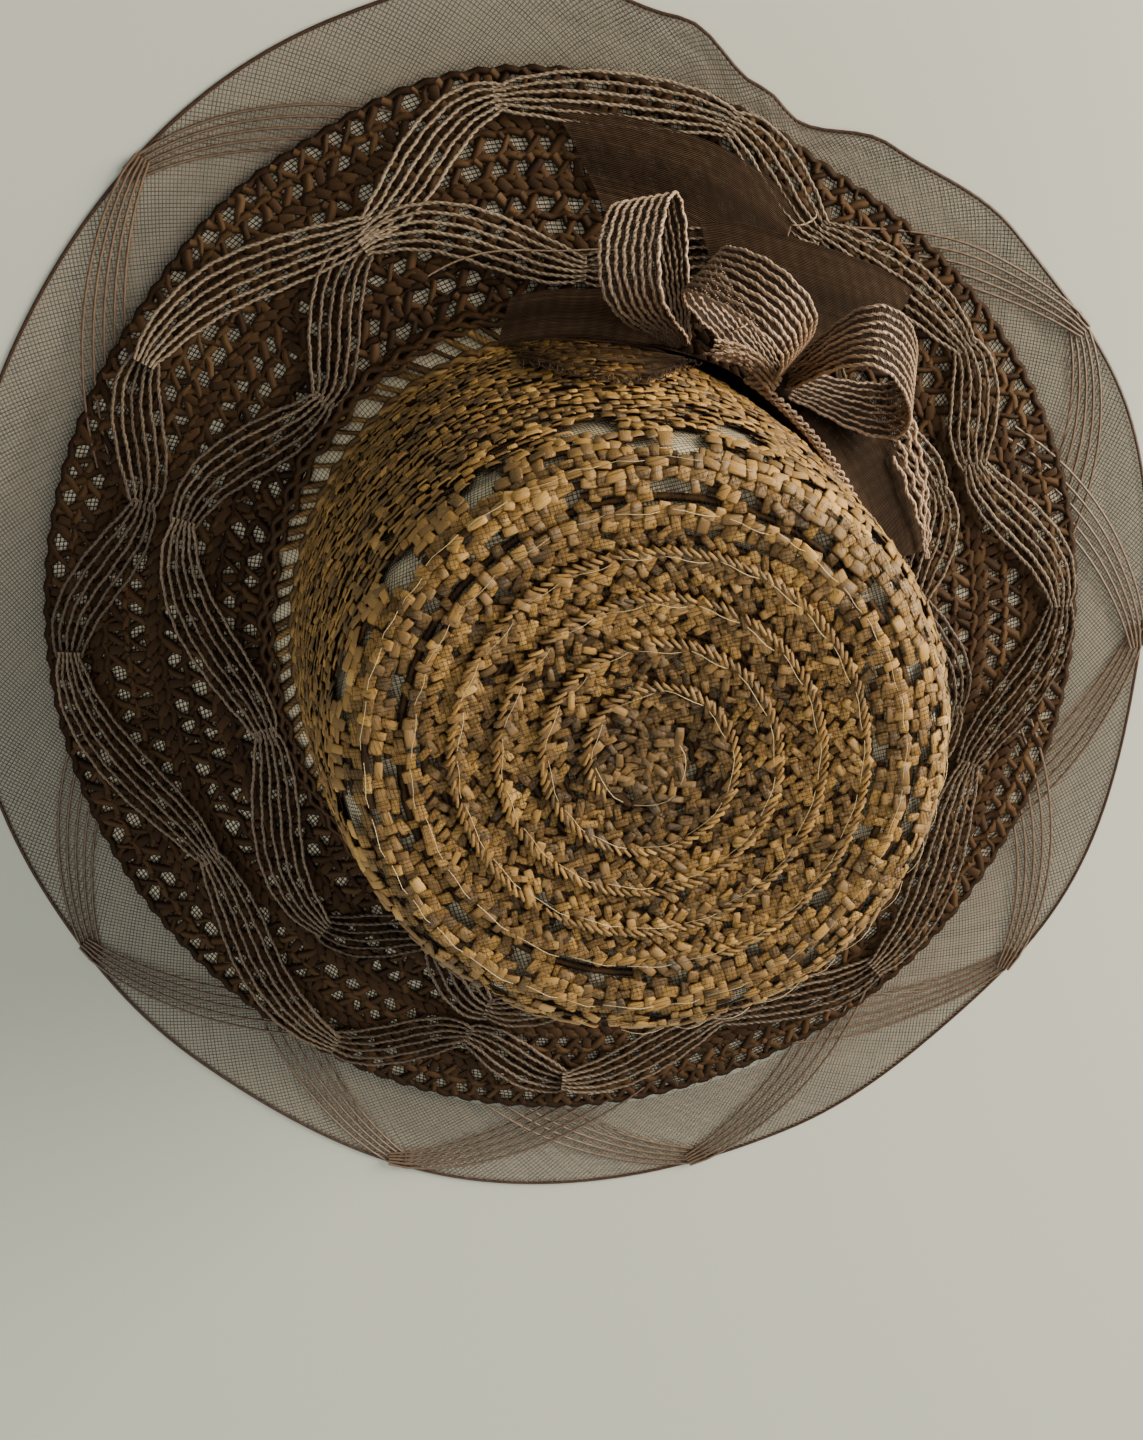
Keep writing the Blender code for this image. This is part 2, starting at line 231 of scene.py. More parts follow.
# Folds of smooth ribbon on the brim. Columns: corners (angle, place from the seat to the dark edge),
# height over the brim at their two long sides, bulge, threads
RIBBON_FOLDS = (
    (((78, 0.86), (45, 0.78), (48, 0.40), (72, 0.46)), (0.0020, 0.0014), 0.0020, 56),
    (((60, 0.52), (32, 0.82), (30, 0.40), (52, 0.14)), (0.0024, 0.0080), 0.0030, 70),
    (((34, 0.04), (2, 0.04), (0, 0.30), (30, 0.36)), (0.0120, 0.0026), 0.0015, 46),
    (((90, -0.04), (58, -0.04), (60, 0.16), (86, 0.12)), (0.0130, 0.0018), 0.0010, 34),
)

# Drape of the ribbon up the crown behind the bow. Columns: angle, climb of its upper edge
DRAPE_TOP = ((56, 0.018), (63, 0.046), (70, 0.066), (76, 0.070), (83, 0.061), (89, 0.040))
DRAPE_FROM = 56
DRAPE_TO = 89

# Tuft of loose cord ends by the bow, from and to (angle, place from the seat to the dark edge)
TUFT_FROM = (17, 0.38)
TUFT_TO = (-1, 0.30)

# Loose threads. Columns: from, to, height
LOOSE_THREADS = (
    ((47, 0.80), (49, 0.64), 0.004), ((48, 0.30), (52, 0.12), 0.016), ((96, 0.30), (64, 0.30), 0.002),
)

# Lace straw of the brim
LACE_ROUNDS = 4.25
LACE_WHOLE = 4  # rounds with open rows
LACE_ROW = 0.0066  # one open row
LACE_PITCH = 0.0078
LACE_STRAND = (0.0021, 0.0005)
LACE_RIBBON = (0.0024, 0.0005)
LACE_STRAW = (0.0054, 0.0032, 0.0004)
LACE_SHUT = 0.20  # share of the openings that a straw shuts
LACE_SWEEP = 0.62  # how far a strand of the lattice runs round, as a share of an opening
PLAIT_STRAW_PITCH = 0.0044
PLAIT_STRAW_LANE = 0.0021
PLAIT_STRAW_LEAN = 38


def mix(start, end, share):
    return start + (end - start) * share


def read_table(table, angles):
    """Read a closed table of (angle, value) rows, easing from each row to the next."""
    angles = np.asarray(angles, float) % 360
    starts = np.array([row[0] for row in table], float)
    values = np.array([row[1] for row in table], float)
    at = np.searchsorted(starts, angles, side="right") - 1
    following = (at + 1) % len(table)
    span = (starts[following] - starts[at]) % 360
    along = (angles - starts[at]) % 360
    return mix(values[at], values[following], (1 - np.cos(np.pi * along / span)) / 2)


def grid(rows, columns):
    """Both values for every point of rows by columns."""
    return np.meshgrid(rows, columns, indexing="ij")


def round_the_hat(count):
    """Angles of that many places, evenly round the hat."""
    return np.linspace(0, 360, count, endpoint=False)


def oval(half_x, half_y, angles):
    turn = np.radians(angles)
    return 1 / np.hypot(np.cos(turn) / half_x, np.sin(turn) / half_y)


def around(angles, radius, height, centre_x=0, centre_y=0):
    turn = np.radians(angles)
    parts = (centre_x + radius * np.cos(turn), centre_y + radius * np.sin(turn), height)
    return np.stack(np.broadcast_arrays(*parts), axis=-1)


def unit(vectors):
    return vectors / np.maximum(np.linalg.norm(vectors, axis=-1, keepdims=True), 1e-12)


# The crown's surface, measured by how far up it a point lies
STRAIGHT = CROWN_TALL - SHOULDER_ROUND
ROUND_LONG = SHOULDER_ROUND * math.pi / 2
STRAIGHT_SHARE = STRAIGHT / CROWN_TALL
RIM_SWELL = WALL_BULGE * math.sin(math.pi * STRAIGHT_SHARE) - SHOULDER_ROUND
TIP_HALF = mix(HEAD_WIDTH + HEAD_DEPTH, SHOULDER_WIDTH + SHOULDER_DEPTH, STRAIGHT_SHARE) / 4 + RIM_SWELL
CROWN_LONG = STRAIGHT + ROUND_LONG + TIP_HALF


def crown_at(angles, climb, lift):
    """Points on the crown, climb being the way up its surface from the base, lift the way outwards."""
    share = np.minimum(climb, STRAIGHT) / CROWN_TALL
    swell = WALL_BULGE * np.sin(np.pi * share)
    turn = np.clip((climb - STRAIGHT) / SHOULDER_ROUND, 0, math.pi / 2)
    inward = SHOULDER_ROUND * (1 - np.cos(turn)) - lift * np.cos(turn) - swell
    crest = np.clip((CROWN_LONG - climb) / TIP_HALF, 1e-4, 1)
    height = CROWN_BASE + CROWN_TALL * share + (SHOULDER_ROUND + lift) * np.sin(turn)
    height = height + TIP_DOME * (1 - crest * crest)
    half_x = (mix(HEAD_WIDTH, SHOULDER_WIDTH, share) / 2 - inward) * crest
    half_y = (mix(HEAD_DEPTH, SHOULDER_DEPTH, share) / 2 - inward) * crest
    return around(angles, oval(half_x, half_y, angles), height, LEAN_LEFT * share, -LEAN_FRONT * share)


def seat_radius(angles):
    return oval(HEAD_WIDTH / 2 + SEAT_MARGIN, HEAD_DEPTH / 2 + SEAT_MARGIN, angles)


def brim_radius(angles):
    return BRIM_REACH * read_table(BRIM_EDGE, angles)


def border_radius(angles):
    return BORDER_REACH * read_table(BORDER_EDGE, angles)


def veil_height(angles, radius):
    """Height of the veil's underside: it slopes with the brim, then comes down to the floor."""
    seat = seat_radius(angles)
    edge = brim_radius(angles)
    share = np.clip((radius - seat) / (edge - seat), 0, 1)
    beyond = np.clip((radius - edge) / ((border_radius(angles) - edge) * (1 - FLAT_SHARE)), 0, 1)
    return mix(HEAD_RISE, EDGE_RISE, share) * (1 - beyond)


def brim_at(angles, share, lift):
    """Points over the brim, share of the way from the seat to the dark edge, over its upper side."""
    radius = mix(seat_radius(angles), brim_radius(angles), share)
    height = veil_height(angles, radius) + VEIL_WALL + GAP + BRIM_WALL + lift
    return around(angles, radius, height)


def veil_at(angles, share, lift):
    """Points on the veil, share of the way from the seat to the border's edge, over its underside."""
    radius = mix(seat_radius(angles), border_radius(angles), share)
    return around(angles, radius, veil_height(angles, radius) + lift)


def facing_of(surface, angles, place, lift):
    """The way out of a surface at its points."""
    small = 0.0002
    return unit(surface(angles, place, lift + small) - surface(angles, place, lift))


def along_of(surface, angles, place, lift):
    """The way round the hat at a surface's points."""
    small = 0.05
    return unit(surface(angles + small, place, lift) - surface(angles, place, lift))


# Materials


def linear(colour):
    """A linear colour from an sRGB hex value."""
    parts = [int(colour[at:at + 2], 16) / 255 for at in (1, 3, 5)]
    return (*(part / 12.92 if part <= 0.04045 else ((part + 0.055) / 1.055) ** 2.4 for part in parts), 1)


def add_node(tree, kind, settings=(), **inputs):
    """Add a node with its settings. Inputs are numbers, or the sockets that feed them."""
    node = tree.nodes.new(kind)
    for name, value in dict(settings).items():
        setattr(node, name, value)
    for name, value in inputs.items():
        socket = node.inputs[int(name[1:])] if name[1:].isdigit() else node.inputs[name.replace("_", " ")]
        if isinstance(value, bpy.types.NodeSocket):
            tree.links.new(value, socket)
        else:
            socket.default_value = value
    return node


def new_finish(name, roughness, ior=1.5):
    made = bpy.data.materials.new(name)
    made.use_nodes = True
    shader = made.node_tree.nodes["Principled BSDF"]
    shader.inputs["Roughness"].default_value = roughness
    shader.inputs["IOR"].default_value = ior
    return made, made.node_tree, shader


def ramp(tree, factor, colours):
    node = add_node(tree, "ShaderNodeValToRGB", Fac=factor)
    elements = node.color_ramp.elements
    while len(elements) < len(colours):
        elements.new(0.5)
    for at, colour in enumerate(colours):
        elements[at].position = at / (len(colours) - 1)
        elements[at].color = linear(colour)
    return node.outputs["Color"]


def attribute(tree, name, output):
    return add_node(tree, "ShaderNodeAttribute", {"attribute_name": name}).outputs[output]


def maths(tree, operation, **inputs):
    return add_node(tree, "ShaderNodeMath", {"operation": operation}, **inputs).outputs[0]


def straw_finish(name, colours, roughness, grain_height, shine_level):
    """Split straw, dyed or sun-bleached: shiny along the grain, each straw its own shade."""
    made, tree, shader = new_finish(name, roughness, 1.53)
    shader.inputs["Specular IOR Level"].default_value = shine_level
    place = add_node(tree, "ShaderNodeTexCoord").outputs["UV"]
    stretched = add_node(tree, "ShaderNodeMapping", Vector=place, Scale=(0.9, 12, 1)).outputs[0]
    shade = attribute(tree, "shade", "Fac")
    seeded = maths(tree, "MULTIPLY", _0=shade, _1=37)
    grain = add_node(
        tree, "ShaderNodeTexNoise", {"noise_dimensions": "4D"}, Vector=stretched, W=seeded, Scale=1.6,
        Detail=3, Roughness=0.6,
    ).outputs["Fac"]
    blend = add_node(tree, "ShaderNodeMix", {"data_type": "FLOAT"}, _0=0.42, _2=shade, _3=grain).outputs[0]
    tree.links.new(ramp(tree, blend, colours), shader.inputs["Base Color"])
    bump = add_node(tree, "ShaderNodeBump", Height=grain, Distance=grain_height, Strength=0.8)
    tree.links.new(bump.outputs["Normal"], shader.inputs["Normal"])
    shine = add_node(
        tree, "ShaderNodeMapRange", Value=grain, To_Min=roughness - 0.10, To_Max=roughness + 0.14
    ).outputs[0]
    tree.links.new(shine, shader.inputs["Roughness"])
    return made


def cord_finish(name, colours, roughness, shine_level=0.5, twist_pitch=0.004, twist_height=0.00002):
    """Twisted or drawn thread: the shade varies along it, and its plies wind round it."""
    made, tree, shader = new_finish(name, roughness, 1.54)
    shader.inputs["Specular IOR Level"].default_value = shine_level
    run = attribute(tree, "run", "Fac")
    turn = attribute(tree, "turn", "Fac")
    wound = maths(tree, "MULTIPLY_ADD", _0=run, _1=1 / twist_pitch, _2=turn)
    plies = maths(tree, "SINE", _0=maths(tree, "MULTIPLY", _0=wound, _1=2 * math.pi))
    place = add_node(tree, "ShaderNodeTexCoord").outputs["Object"]
    mottle = add_node(tree, "ShaderNodeTexNoise", Vector=place, Scale=320, Detail=3).outputs["Fac"]
    shade = attribute(tree, "shade", "Fac")
    blend = add_node(tree, "ShaderNodeMix", {"data_type": "FLOAT"}, _0=0.45, _2=shade, _3=mottle).outputs[0]
    depth = maths(tree, "MULTIPLY_ADD", _0=plies, _1=0.10, _2=blend)
    tree.links.new(ramp(tree, depth, colours), shader.inputs["Base Color"])
    bump = add_node(tree, "ShaderNodeBump", Height=plies, Distance=twist_height, Strength=1)
    tree.links.new(bump.outputs["Normal"], shader.inputs["Normal"])
    return made


def cloth_finish(name, colours):
    """Plain cloth: hardly any shine, its shade drifting over a few millimetres."""
    made, tree, shader = new_finish(name, 0.85)
    shader.inputs["Specular IOR Level"].default_value = 0.2
    place = add_node(tree, "ShaderNodeTexCoord").outputs["Object"]
    drift = add_node(tree, "ShaderNodeTexNoise", Vector=place, Scale=180, Detail=4).outputs["Fac"]
    tree.links.new(ramp(tree, drift, colours), shader.inputs["Base Color"])
    return made


# Golden wheat straw, split flat and varnished by handling: warm yellow with brown nodes
golden_straw = straw_finish(
    "golden_split_straw", ("#1e1308", "#4b3818", "#7d5f2f", "#b08843", "#f2cf81"), 0.41, 0.00035, 0.42
)
# A darker copy of the same straw: painted shade for the straws that lie under the plait, and the dark brown
# edge of the open row at the foot
shaded_straw = cord_finish("shaded_straw", ("#241508", "#3f2a11", "#5d421e"), 0.60, 0.2)
# The same straw in the open row at the crown's foot, browner and duller than the plait
dull_straw = cord_finish(
    "dull_golden_straw", ("#2c1e0e", "#553e20", "#7d6136", "#a5854f"), 0.55, 0.3, 0.006, 0.00003
)
# Dark brown dyed straw: nearly black, with a dull shine where it is lit
dark_straw = straw_finish(
    "dark_dyed_straw", ("#181008", "#2c1e12", "#402e1c", "#5a4530"), 0.70, 0.00010, 0.10
)
# Fine net of dark drawn thread, over and under the straw
dark_net = cord_finish("dark_fine_net", ("#0e0906", "#1e150e", "#382a1e"), 0.50, 0.25)
# Off-white lining cloth behind the straw, matt, a little uneven: partly the lining's own colour, partly
# painted light, pale so that openings and windows read as lit from behind
lining_and_backlight_cloth = cloth_finish("off_white_lining", ("#cbc1a4", "#ddd3b6", "#ebe2c9"))
# A greyer cloth under the brim: painted light, a pale sheet that stands in for the light seen through the
# lace and the veil
brim_backlight_sheet = cloth_finish("grey_lining", ("#aea793", "#c9c2ad", "#dad4c2"))
# Grey-brown crin of the veil: drawn nylon thread, slightly glossy
sheer_net = cord_finish("sheer_drawn_crin", ("#44362a", "#695644", "#8f7a65"), 0.40)
# Taupe cords of two twisted threads: matt with small bright plies
taupe_cord = cord_finish(
    "taupe_twisted_cord", ("#2c2319", "#57493a", "#81715d", "#a8977f"), 0.58, 0.5, 0.0022, 0.00005
)
# The same cords in the bow, paler and shinier
bow_cord = cord_finish(
    "pale_twisted_cord", ("#3a2d22", "#73604e", "#a68d76", "#d6ba9c"), 0.48, 0.5, 0.0022, 0.00008
)
# Cotton sewing thread, pale straw colour
sewing = cord_finish("pale_cotton_thread", ("#b09a6c", "#d8c598", "#efe2bf"), 0.60, 0.5, 0.001, 0.00003)
# Brown crin of the ribbon's wide folds: so fine that it looks matt and even
smooth_crin = cord_finish("smooth_brown_crin", ("#1a130d", "#33271d", "#554435"), 0.70, 0.06, 0.004, 0.00001)
# The same ribbon in the loops, a little browner where light comes through
loop_crin = cord_finish("thin_brown_crin", ("#16100b", "#2f2117", "#523e2e"), 0.50, 0.15, 0.004, 0.00001)
# Dark brown crin of the band and the knot: coarser drawn thread, which shines where it turns
brown_crin = cord_finish("brown_drawn_crin", ("#130a06", "#27170f", "#432c20"), 0.40, 0.3)


# Geometry Nodes trees


def new_tree(name, inputs):
    tree = bpy.data.node_groups.new(name, "GeometryNodeTree")
    tree.interface.new_socket("Geometry", in_out="INPUT", socket_type="NodeSocketGeometry")
    for label, kind in inputs:
        tree.interface.new_socket(label, in_out="INPUT", socket_type=kind)
    tree.interface.new_socket("Geometry", in_out="OUTPUT", socket_type="NodeSocketGeometry")
    return tree, add_node(tree, "NodeGroupInput").outputs


def end_tree(tree, geometry, finish):
    realized = add_node(tree, "GeometryNodeRealizeInstances", Geometry=geometry).outputs[0]
    finished = add_node(tree, "GeometryNodeSetMaterial", Geometry=realized, Material=finish).outputs[0]
    add_node(tree, "NodeGroupOutput", Geometry=finished)


def named(tree, name, kind):
    node = add_node(tree, "GeometryNodeInputNamedAttribute", {"data_type": kind}, Name=name)
    return node.outputs["Attribute"]


def store(tree, geometry, name, value):
    """Keep a number on a curve's points, for the materials."""
    return add_node(
        tree, "GeometryNodeStoreNamedAttribute", {"data_type": "FLOAT", "domain": "POINT"},
        Geometry=geometry, Name=name, Value=value,
    ).outputs[0]


def build_strand_tree():
    """Sweep a flattened round along every chain of edges, its flat side out of the surface."""
    tree, given = new_tree("strands", (
        ("Width", "NodeSocketFloat"), ("Thickness", "NodeSocketFloat"), ("Sides", "NodeSocketInt"),
        ("Finish", "NodeSocketMaterial"),
    ))
    curve = add_node(tree, "GeometryNodeMeshToCurve", Mesh=given["Geometry"]).outputs[0]
    curve = add_node(
        tree, "GeometryNodeSetCurveNormal", {"mode": "FREE"}, Curve=curve,
        Normal=named(tree, "facing", "FLOAT_VECTOR"),
    ).outputs[0]
    curve = store(tree, curve, "run", add_node(tree, "GeometryNodeSplineParameter").outputs["Length"])
    ring = add_node(tree, "GeometryNodeCurvePrimitiveCircle", Resolution=given["Sides"], Radius=0.5)
    turn = add_node(tree, "GeometryNodeSplineParameter").outputs["Factor"]
    ring = store(tree, ring.outputs[0], "turn", turn)
    size = add_node(tree, "ShaderNodeCombineXYZ", X=given["Thickness"], Y=given["Width"], Z=1).outputs[0]
    ring = add_node(tree, "GeometryNodeTransform", Geometry=ring, Scale=size).outputs[0]
    tube = add_node(
        tree, "GeometryNodeCurveToMesh", Curve=curve, Profile_Curve=ring,
        Scale=named(tree, "fullness", "FLOAT"), Fill_Caps=True,
    ).outputs[0]
    end_tree(tree, tube, given["Finish"])
    return tree


def build_tile_tree():
    """Set one copy of a small shape on every point, turned and sized by the point's attributes."""
    tree, given = new_tree("straw_tiles", (("Tile", "NodeSocketObject"), ("Finish", "NodeSocketMaterial")))
    rotation = add_node(
        tree, "FunctionNodeAxesToRotation", {"primary_axis": "Z", "secondary_axis": "X"},
        Primary_Axis=named(tree, "facing", "FLOAT_VECTOR"),
        Secondary_Axis=named(tree, "along", "FLOAT_VECTOR"),
    ).outputs[0]
    tile = add_node(tree, "GeometryNodeObjectInfo", Object=given["Tile"]).outputs["Geometry"]
    placed = add_node(
        tree, "GeometryNodeInstanceOnPoints", Points=given["Geometry"], Instance=tile,
        Rotation=rotation, Scale=named(tree, "size", "FLOAT_VECTOR"),
    ).outputs[0]
    end_tree(tree, placed, given["Finish"])
    return tree


def add_object(name, data):
    made = bpy.data.objects.new(name, data)
    bpy.context.scene.collection.objects.link(made)
    return made


def guide(name, points, edges, attributes):
    """An object of points and edges that carry attributes, for a Geometry Nodes tree to work on."""
    mesh = bpy.data.meshes.new(name)
    mesh.vertices.add(len(points))
    mesh.vertices.foreach_set("co", np.ascontiguousarray(points, np.float32).ravel())
    if len(edges):
        mesh.edges.add(len(edges))
        mesh.edges.foreach_set("vertices", np.ascontiguousarray(edges, np.int32).ravel())
    for label, values in attributes.items():
        kind, field = ("FLOAT_VECTOR", "vector") if values.ndim == 2 else ("FLOAT", "value")
        made = mesh.attributes.new(label, kind, "POINT")
        made.data.foreach_set(field, np.ascontiguousarray(values, np.float32).ravel())
    mesh.update()
    return add_object(name, mesh)


def grow(made, tree, inputs):
    """Run a tree on an object and keep the result as its plain mesh."""
    modifier = made.modifiers.new(tree.name, "NODES")
    modifier.node_group = tree
    sockets = {item.name: item.identifier for item in tree.interface.items_tree if item.in_out == "INPUT"}
    for label, value in inputs.items():
        modifier[sockets[label]] = value
    graph = bpy.context.evaluated_depsgraph_get()
    result = bpy.data.meshes.new_from_object(made.evaluated_get(graph), depsgraph=graph)
    made.modifiers.clear()
    made.data = result
    result.name = made.name
    result.shade_smooth()
    return made


def strand_group(points, facing, fullness=1.0, shade=None, closed=False):
    """Strands with the same number of points. Points and facing are strands by steps by three."""
    count, steps = points.shape[:2]
    if shade is None:
        shade = chance.random((count, 1))
    full, tone = (np.broadcast_to(values, (count, steps)) for values in (fullness, shade))
    return points, np.broadcast_to(facing, points.shape), full, tone, closed


def strands_on(surface, angles, places, lift, fullness=1.0, shade=None, closed=False):
    """Strands that lie on a surface, from the angles and places of their points, flat side out."""
    facing = facing_of(surface, angles, places, lift)
    return strand_group(surface(angles, places, lift), facing, fullness, shade, closed)


def make_strands(name, groups, section, sides, finish):
    """One piece of every strand in the groups. Its section is a width and a height."""
    columns = [[], [], [], []]
    edges = []
    start = 0
    for group in groups:
        count, steps = group[0].shape[:2]
        index = start + np.arange(count * steps).reshape(count, steps)
        edges.append(np.stack((index[:, :-1], index[:, 1:]), axis=-1).reshape(-1, 2))
        if group[4]:
            edges.append(np.stack((index[:, -1], index[:, 0]), axis=-1))
        for column, values in zip(columns, group):
            column.append(values.reshape(count * steps, -1))
        start += count * steps
    points, facing, fullness, shade = (np.concatenate(column) for column in columns)
    made = guide(name, points, np.concatenate(edges), {
        "facing": facing, "fullness": fullness[:, 0], "shade": shade[:, 0],
    })
    width, thickness = section
    return grow(made, strand_tree, {
        "Width": width, "Thickness": thickness, "Sides": sides, "Finish": finish,
    })


def flat_straw():
    """One bend of split straw, one long, one wide and one high, its ends tucked down."""
    stations = ((-0.50, 0.84, -1.0), (-0.33, 1.0, 0.0), (0.33, 1.0, 0.0), (0.50, 0.84, -1.0))
    section = ((-0.50, 0.0), (-0.36, 1.0), (0.36, 1.0), (0.50, 0.0))
    vertices = [(x, y * wide, z + drop) for x, wide, drop in stations for y, z in section]
    faces = [tuple(range(4)), tuple(reversed(range(12, 16)))]
    for first in range(0, 12, 4):
        for side in range(4):
            after = first + (side + 1) % 4
            faces.append((first + side, first + side + 4, after + 4, after))
    mesh = bpy.data.meshes.new("flat_straw")
    mesh.from_pydata(vertices, [], faces)
    layer = mesh.uv_layers.new(name="UVMap")
    for loop in mesh.loops:
        corner = mesh.vertices[loop.vertex_index].co
        layer.data[loop.index].uv = (corner.x + 0.5, corner.y + 0.5)
    return bpy.data.objects.new("flat_straw", mesh)


def turned(facing, round_way, lean):
    """The way round the hat, turned by an angle in a surface."""
    turn = np.radians(lean)[:, None]
    return round_way * np.cos(turn) + np.cross(facing, round_way) * np.sin(turn)


def make_tiles(name, points, facing, along, size, shade, finish):
    """One piece of flat straws, one on every point."""
    made = guide(name, points, (), {"facing": facing, "along": along, "size": size, "shade": shade})
    return grow(made, tile_tree, {"Tile": tile, "Finish": finish})


def make_sheet(name, points, round_it, capped, finish):
    """A smooth sheet through rows of points, the rows closed and the last one filled if asked."""
    rows, columns = points.shape[:2]
    index = np.arange(rows * columns).reshape(rows, columns)
    if round_it:
        index = np.concatenate((index, index[:, :1]), axis=1)
    around_face = (index[:-1, :-1], index[:-1, 1:], index[1:, 1:], index[1:, :-1])
    faces = np.stack(around_face, axis=-1).reshape(-1, 4).tolist()
    if capped:
        faces.append(index[-1, :-1].tolist())
    mesh = bpy.data.meshes.new(name)
    mesh.from_pydata(points.reshape(-1, 3).tolist(), [], faces)
    mesh.shade_smooth()
    mesh.materials.append(finish)
    return add_object(name, mesh)


strand_tree = build_strand_tree()
tile_tree = build_tile_tree()
tile = flat_straw()


def keep(piece, slot, *nodes):
    """Hand a finished piece to the frame."""
    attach(piece, "root")
    if nodes:
        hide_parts(*nodes)


# Crown


def step_height(climb):
    """How far a plait row's lower edge stands proud at this climb: low on the wall, high on the tip."""
    return mix(WALL_STEP, TIP_STEP, np.clip((climb - STRAIGHT) / ROUND_LONG, 0, 1))


def crown_radius(angle, climb):
    across = crown_at(angle, climb, 0) - crown_at(angle + 180, climb, 0)
    return float(np.linalg.norm(across[:2])) / 2


def spiral_march(level, pitch):
    """Angles round the sewn spiral, a pitch apart, at a level across its row."""
    angles = []
    angle = -360.0
    while True:
        climb = PLAIT_WIDTH * (angle / 360 + level)
        if climb > CROWN_LONG - 0.003:
            return np.array(angles)
        angles.append(angle)
        angle += math.degrees(pitch / max(crown_radius(angle, climb), 0.003))


def in_window(angles, climbs):
    """Whether a point lies in one of the windows under the shoulder."""
    inside = np.zeros(np.shape(angles), bool)
    for angle, climb in WINDOWS:
        off = np.radians((angles - angle + 180) % 360 - 180) * SHOULDER_MEAN / WINDOW_HALF_WIDE
        inside |= np.abs(off) ** 1.6 + np.abs((climbs - climb) / WINDOW_HALF_TALL) ** 1.6 < 1
    return inside


def skirt_at(angles, share, lift):
    """Points on the open row at the crown's foot, from the wall down and out to its edge."""
    high = crown_at(angles, SKIRT_TALL, 0.0006)
    low = brim_at(angles, SKIRT_PLACE, 0.0012)
    share = np.asarray(share, float)[..., None]
    turn = np.radians(angles)
    out = unit(np.stack(np.broadcast_arrays(np.cos(turn), np.sin(turn), 1.0), axis=-1))
    return mix(high, low, share) + out * (lift - 0.0012 * np.sin(np.pi * share[..., 0]))[..., None]


def lay_straws(angles, climbs, lift, lean):
    """Places of straws on the crown and their two directions, lean being the turn from the row's run."""
    points = crown_at(angles, climbs, lift)
    facing = unit(facing_of(crown_at, angles, climbs, lift) + chance.normal(0, 0.10, points.shape))
    return points, facing, turned(facing, along_of(crown_at, angles, climbs, lift), lean)


def weave(lanes, pitch, straw, first, last, on_bias):
    """Straws of the plait between two climbs: what make_tiles needs, and the straws under them."""
    marks = spiral_march(0.5, pitch)
    steps = np.gradient(marks)
    order = np.arange(len(marks))
    middles = PLAIT_WIDTH * (marks / 360 + 0.5)
    tops, unders = [], []
    for lane in range(lanes):
        angles = marks + (steps * 0.5 * (lane % 2) if on_bias else 0)
        level = (lane + 0.5) / lanes
        climbs = PLAIT_WIDTH * (angles / 360 + level)
        inside = (climbs > max(first, 0.001)) & (climbs < min(last, CROWN_LONG - 0.002))
        centre = np.clip((climbs - CENTRE_FROM) / CENTRE_SPAN, 0, 1)
        stretch = np.clip((CROWN_LONG - climbs) / np.maximum(CROWN_LONG - middles, 0.004), 0.4, 1.5)
        stretch = np.where(climbs > STRAIGHT, stretch, 1)
        if on_bias:
            patches = order % 3 == 0
            lean = np.full(len(marks), BIAS if lane % 2 else -BIAS)
        else:
            crosswise = (order + lane) % 2 == 1
            patches = (order + lane * 3) % 7 < 2
            lean = np.where(crosswise, 90.0, 0.0)
            stretch = stretch * np.where(crosswise, 0.90, 1.0)

        # Openings, and places where only the darker straw below shows
        through = (lane == lanes // 2) & patches & (climbs > OPEN_FROM) & (climbs < CROWN_LONG - 0.016)
        through |= chance.random(len(marks)) < np.where(climbs > OPEN_FROM, 0.03 + 0.05 * centre, 0.0)
        through |= in_window(angles, climbs)
        # Straws left out show the darker straw below; leaving more out towards the tip's middle is painted
        # shade.
        dark = chance.random(len(marks)) < np.where(climbs > DARK_FROM, 0.08 + 0.10 * centre, 0.02)
        dark |= (lane == 0) & (order // 3 % 7 == 0) & (climbs > SLITS_FROM) & (climbs < OPEN_FROM)
        # Over half of the top lane's straws are left out near and on the tip, so the darker straw below
        # shows as a painted shadow beside the next row's raised edge.
        sparse = chance.random(len(marks)) < 0.55
        dark |= (lane == lanes - 1) & (climbs > EDGES_FROM - PLAIT_WIDTH) & sparse

        lean = lean + chance.normal(0, 11, len(marks))
        # Painted shade: the straws darken towards the tip's middle and towards the wall's foot; the two
        # sines that follow are slow changes of the straw's own tone.
        pale = 0.56 - 0.34 * centre - 0.09 * np.clip((OPEN_FROM - climbs) / FOOT_SPAN, 0, 1)
        pale += 0.09 * np.sin(np.radians(angles * 3.1) + climbs * 190)
        pale += 0.08 * np.sin(np.radians(angles * 7.3) - climbs * 420)
        angles_of = angles + steps * chance.normal(0, 0.09, len(marks))
        climbs_of = climbs + chance.normal(0, 0.00022, len(marks))
        down = np.full(len(marks), 1 - level)
        kept = inside & ~through & ~dark
        tops.append([values[kept] for values in (angles_of, climbs_of, lean, down, stretch, pale)])
        held = inside & ~through
        held[-2:] = False
        at = np.nonzero(held & (order % 2 == 0))[0]
        pair = np.stack((angles[at], np.where(held[at + 1], angles[at + 2], angles[at + 1])), axis=1)
        unders.append((pair, PLAIT_WIDTH * (pair / 360 + level)))

    angles, climbs, lean, down, stretch, pale = (np.concatenate(column) for column in zip(*tops))
    count = len(angles)
    lift = step_height(climbs) * down + chance.normal(0, 0.00018, count)
    points, facing, along = lay_straws(angles, climbs, lift, lean)
    size = np.stack((
        straw[0] * stretch * chance.uniform(0.84, 1.14, count),
        straw[1] * chance.uniform(0.72, 1.16, count),
        straw[2] * chance.uniform(0.75, 1.35, count),
    ), axis=-1)
    shade = np.clip(chance.normal(pale, 0.20, count), 0, 1)
    angles, climbs = (np.concatenate(column) for column in zip(*unders))
    lift = step_height(climbs) * (1 - (climbs / PLAIT_WIDTH - angles / 360)) - UNDER_DEPTH
    return (points, facing, along, size, shade), strands_on(crown_at, angles, climbs, lift)


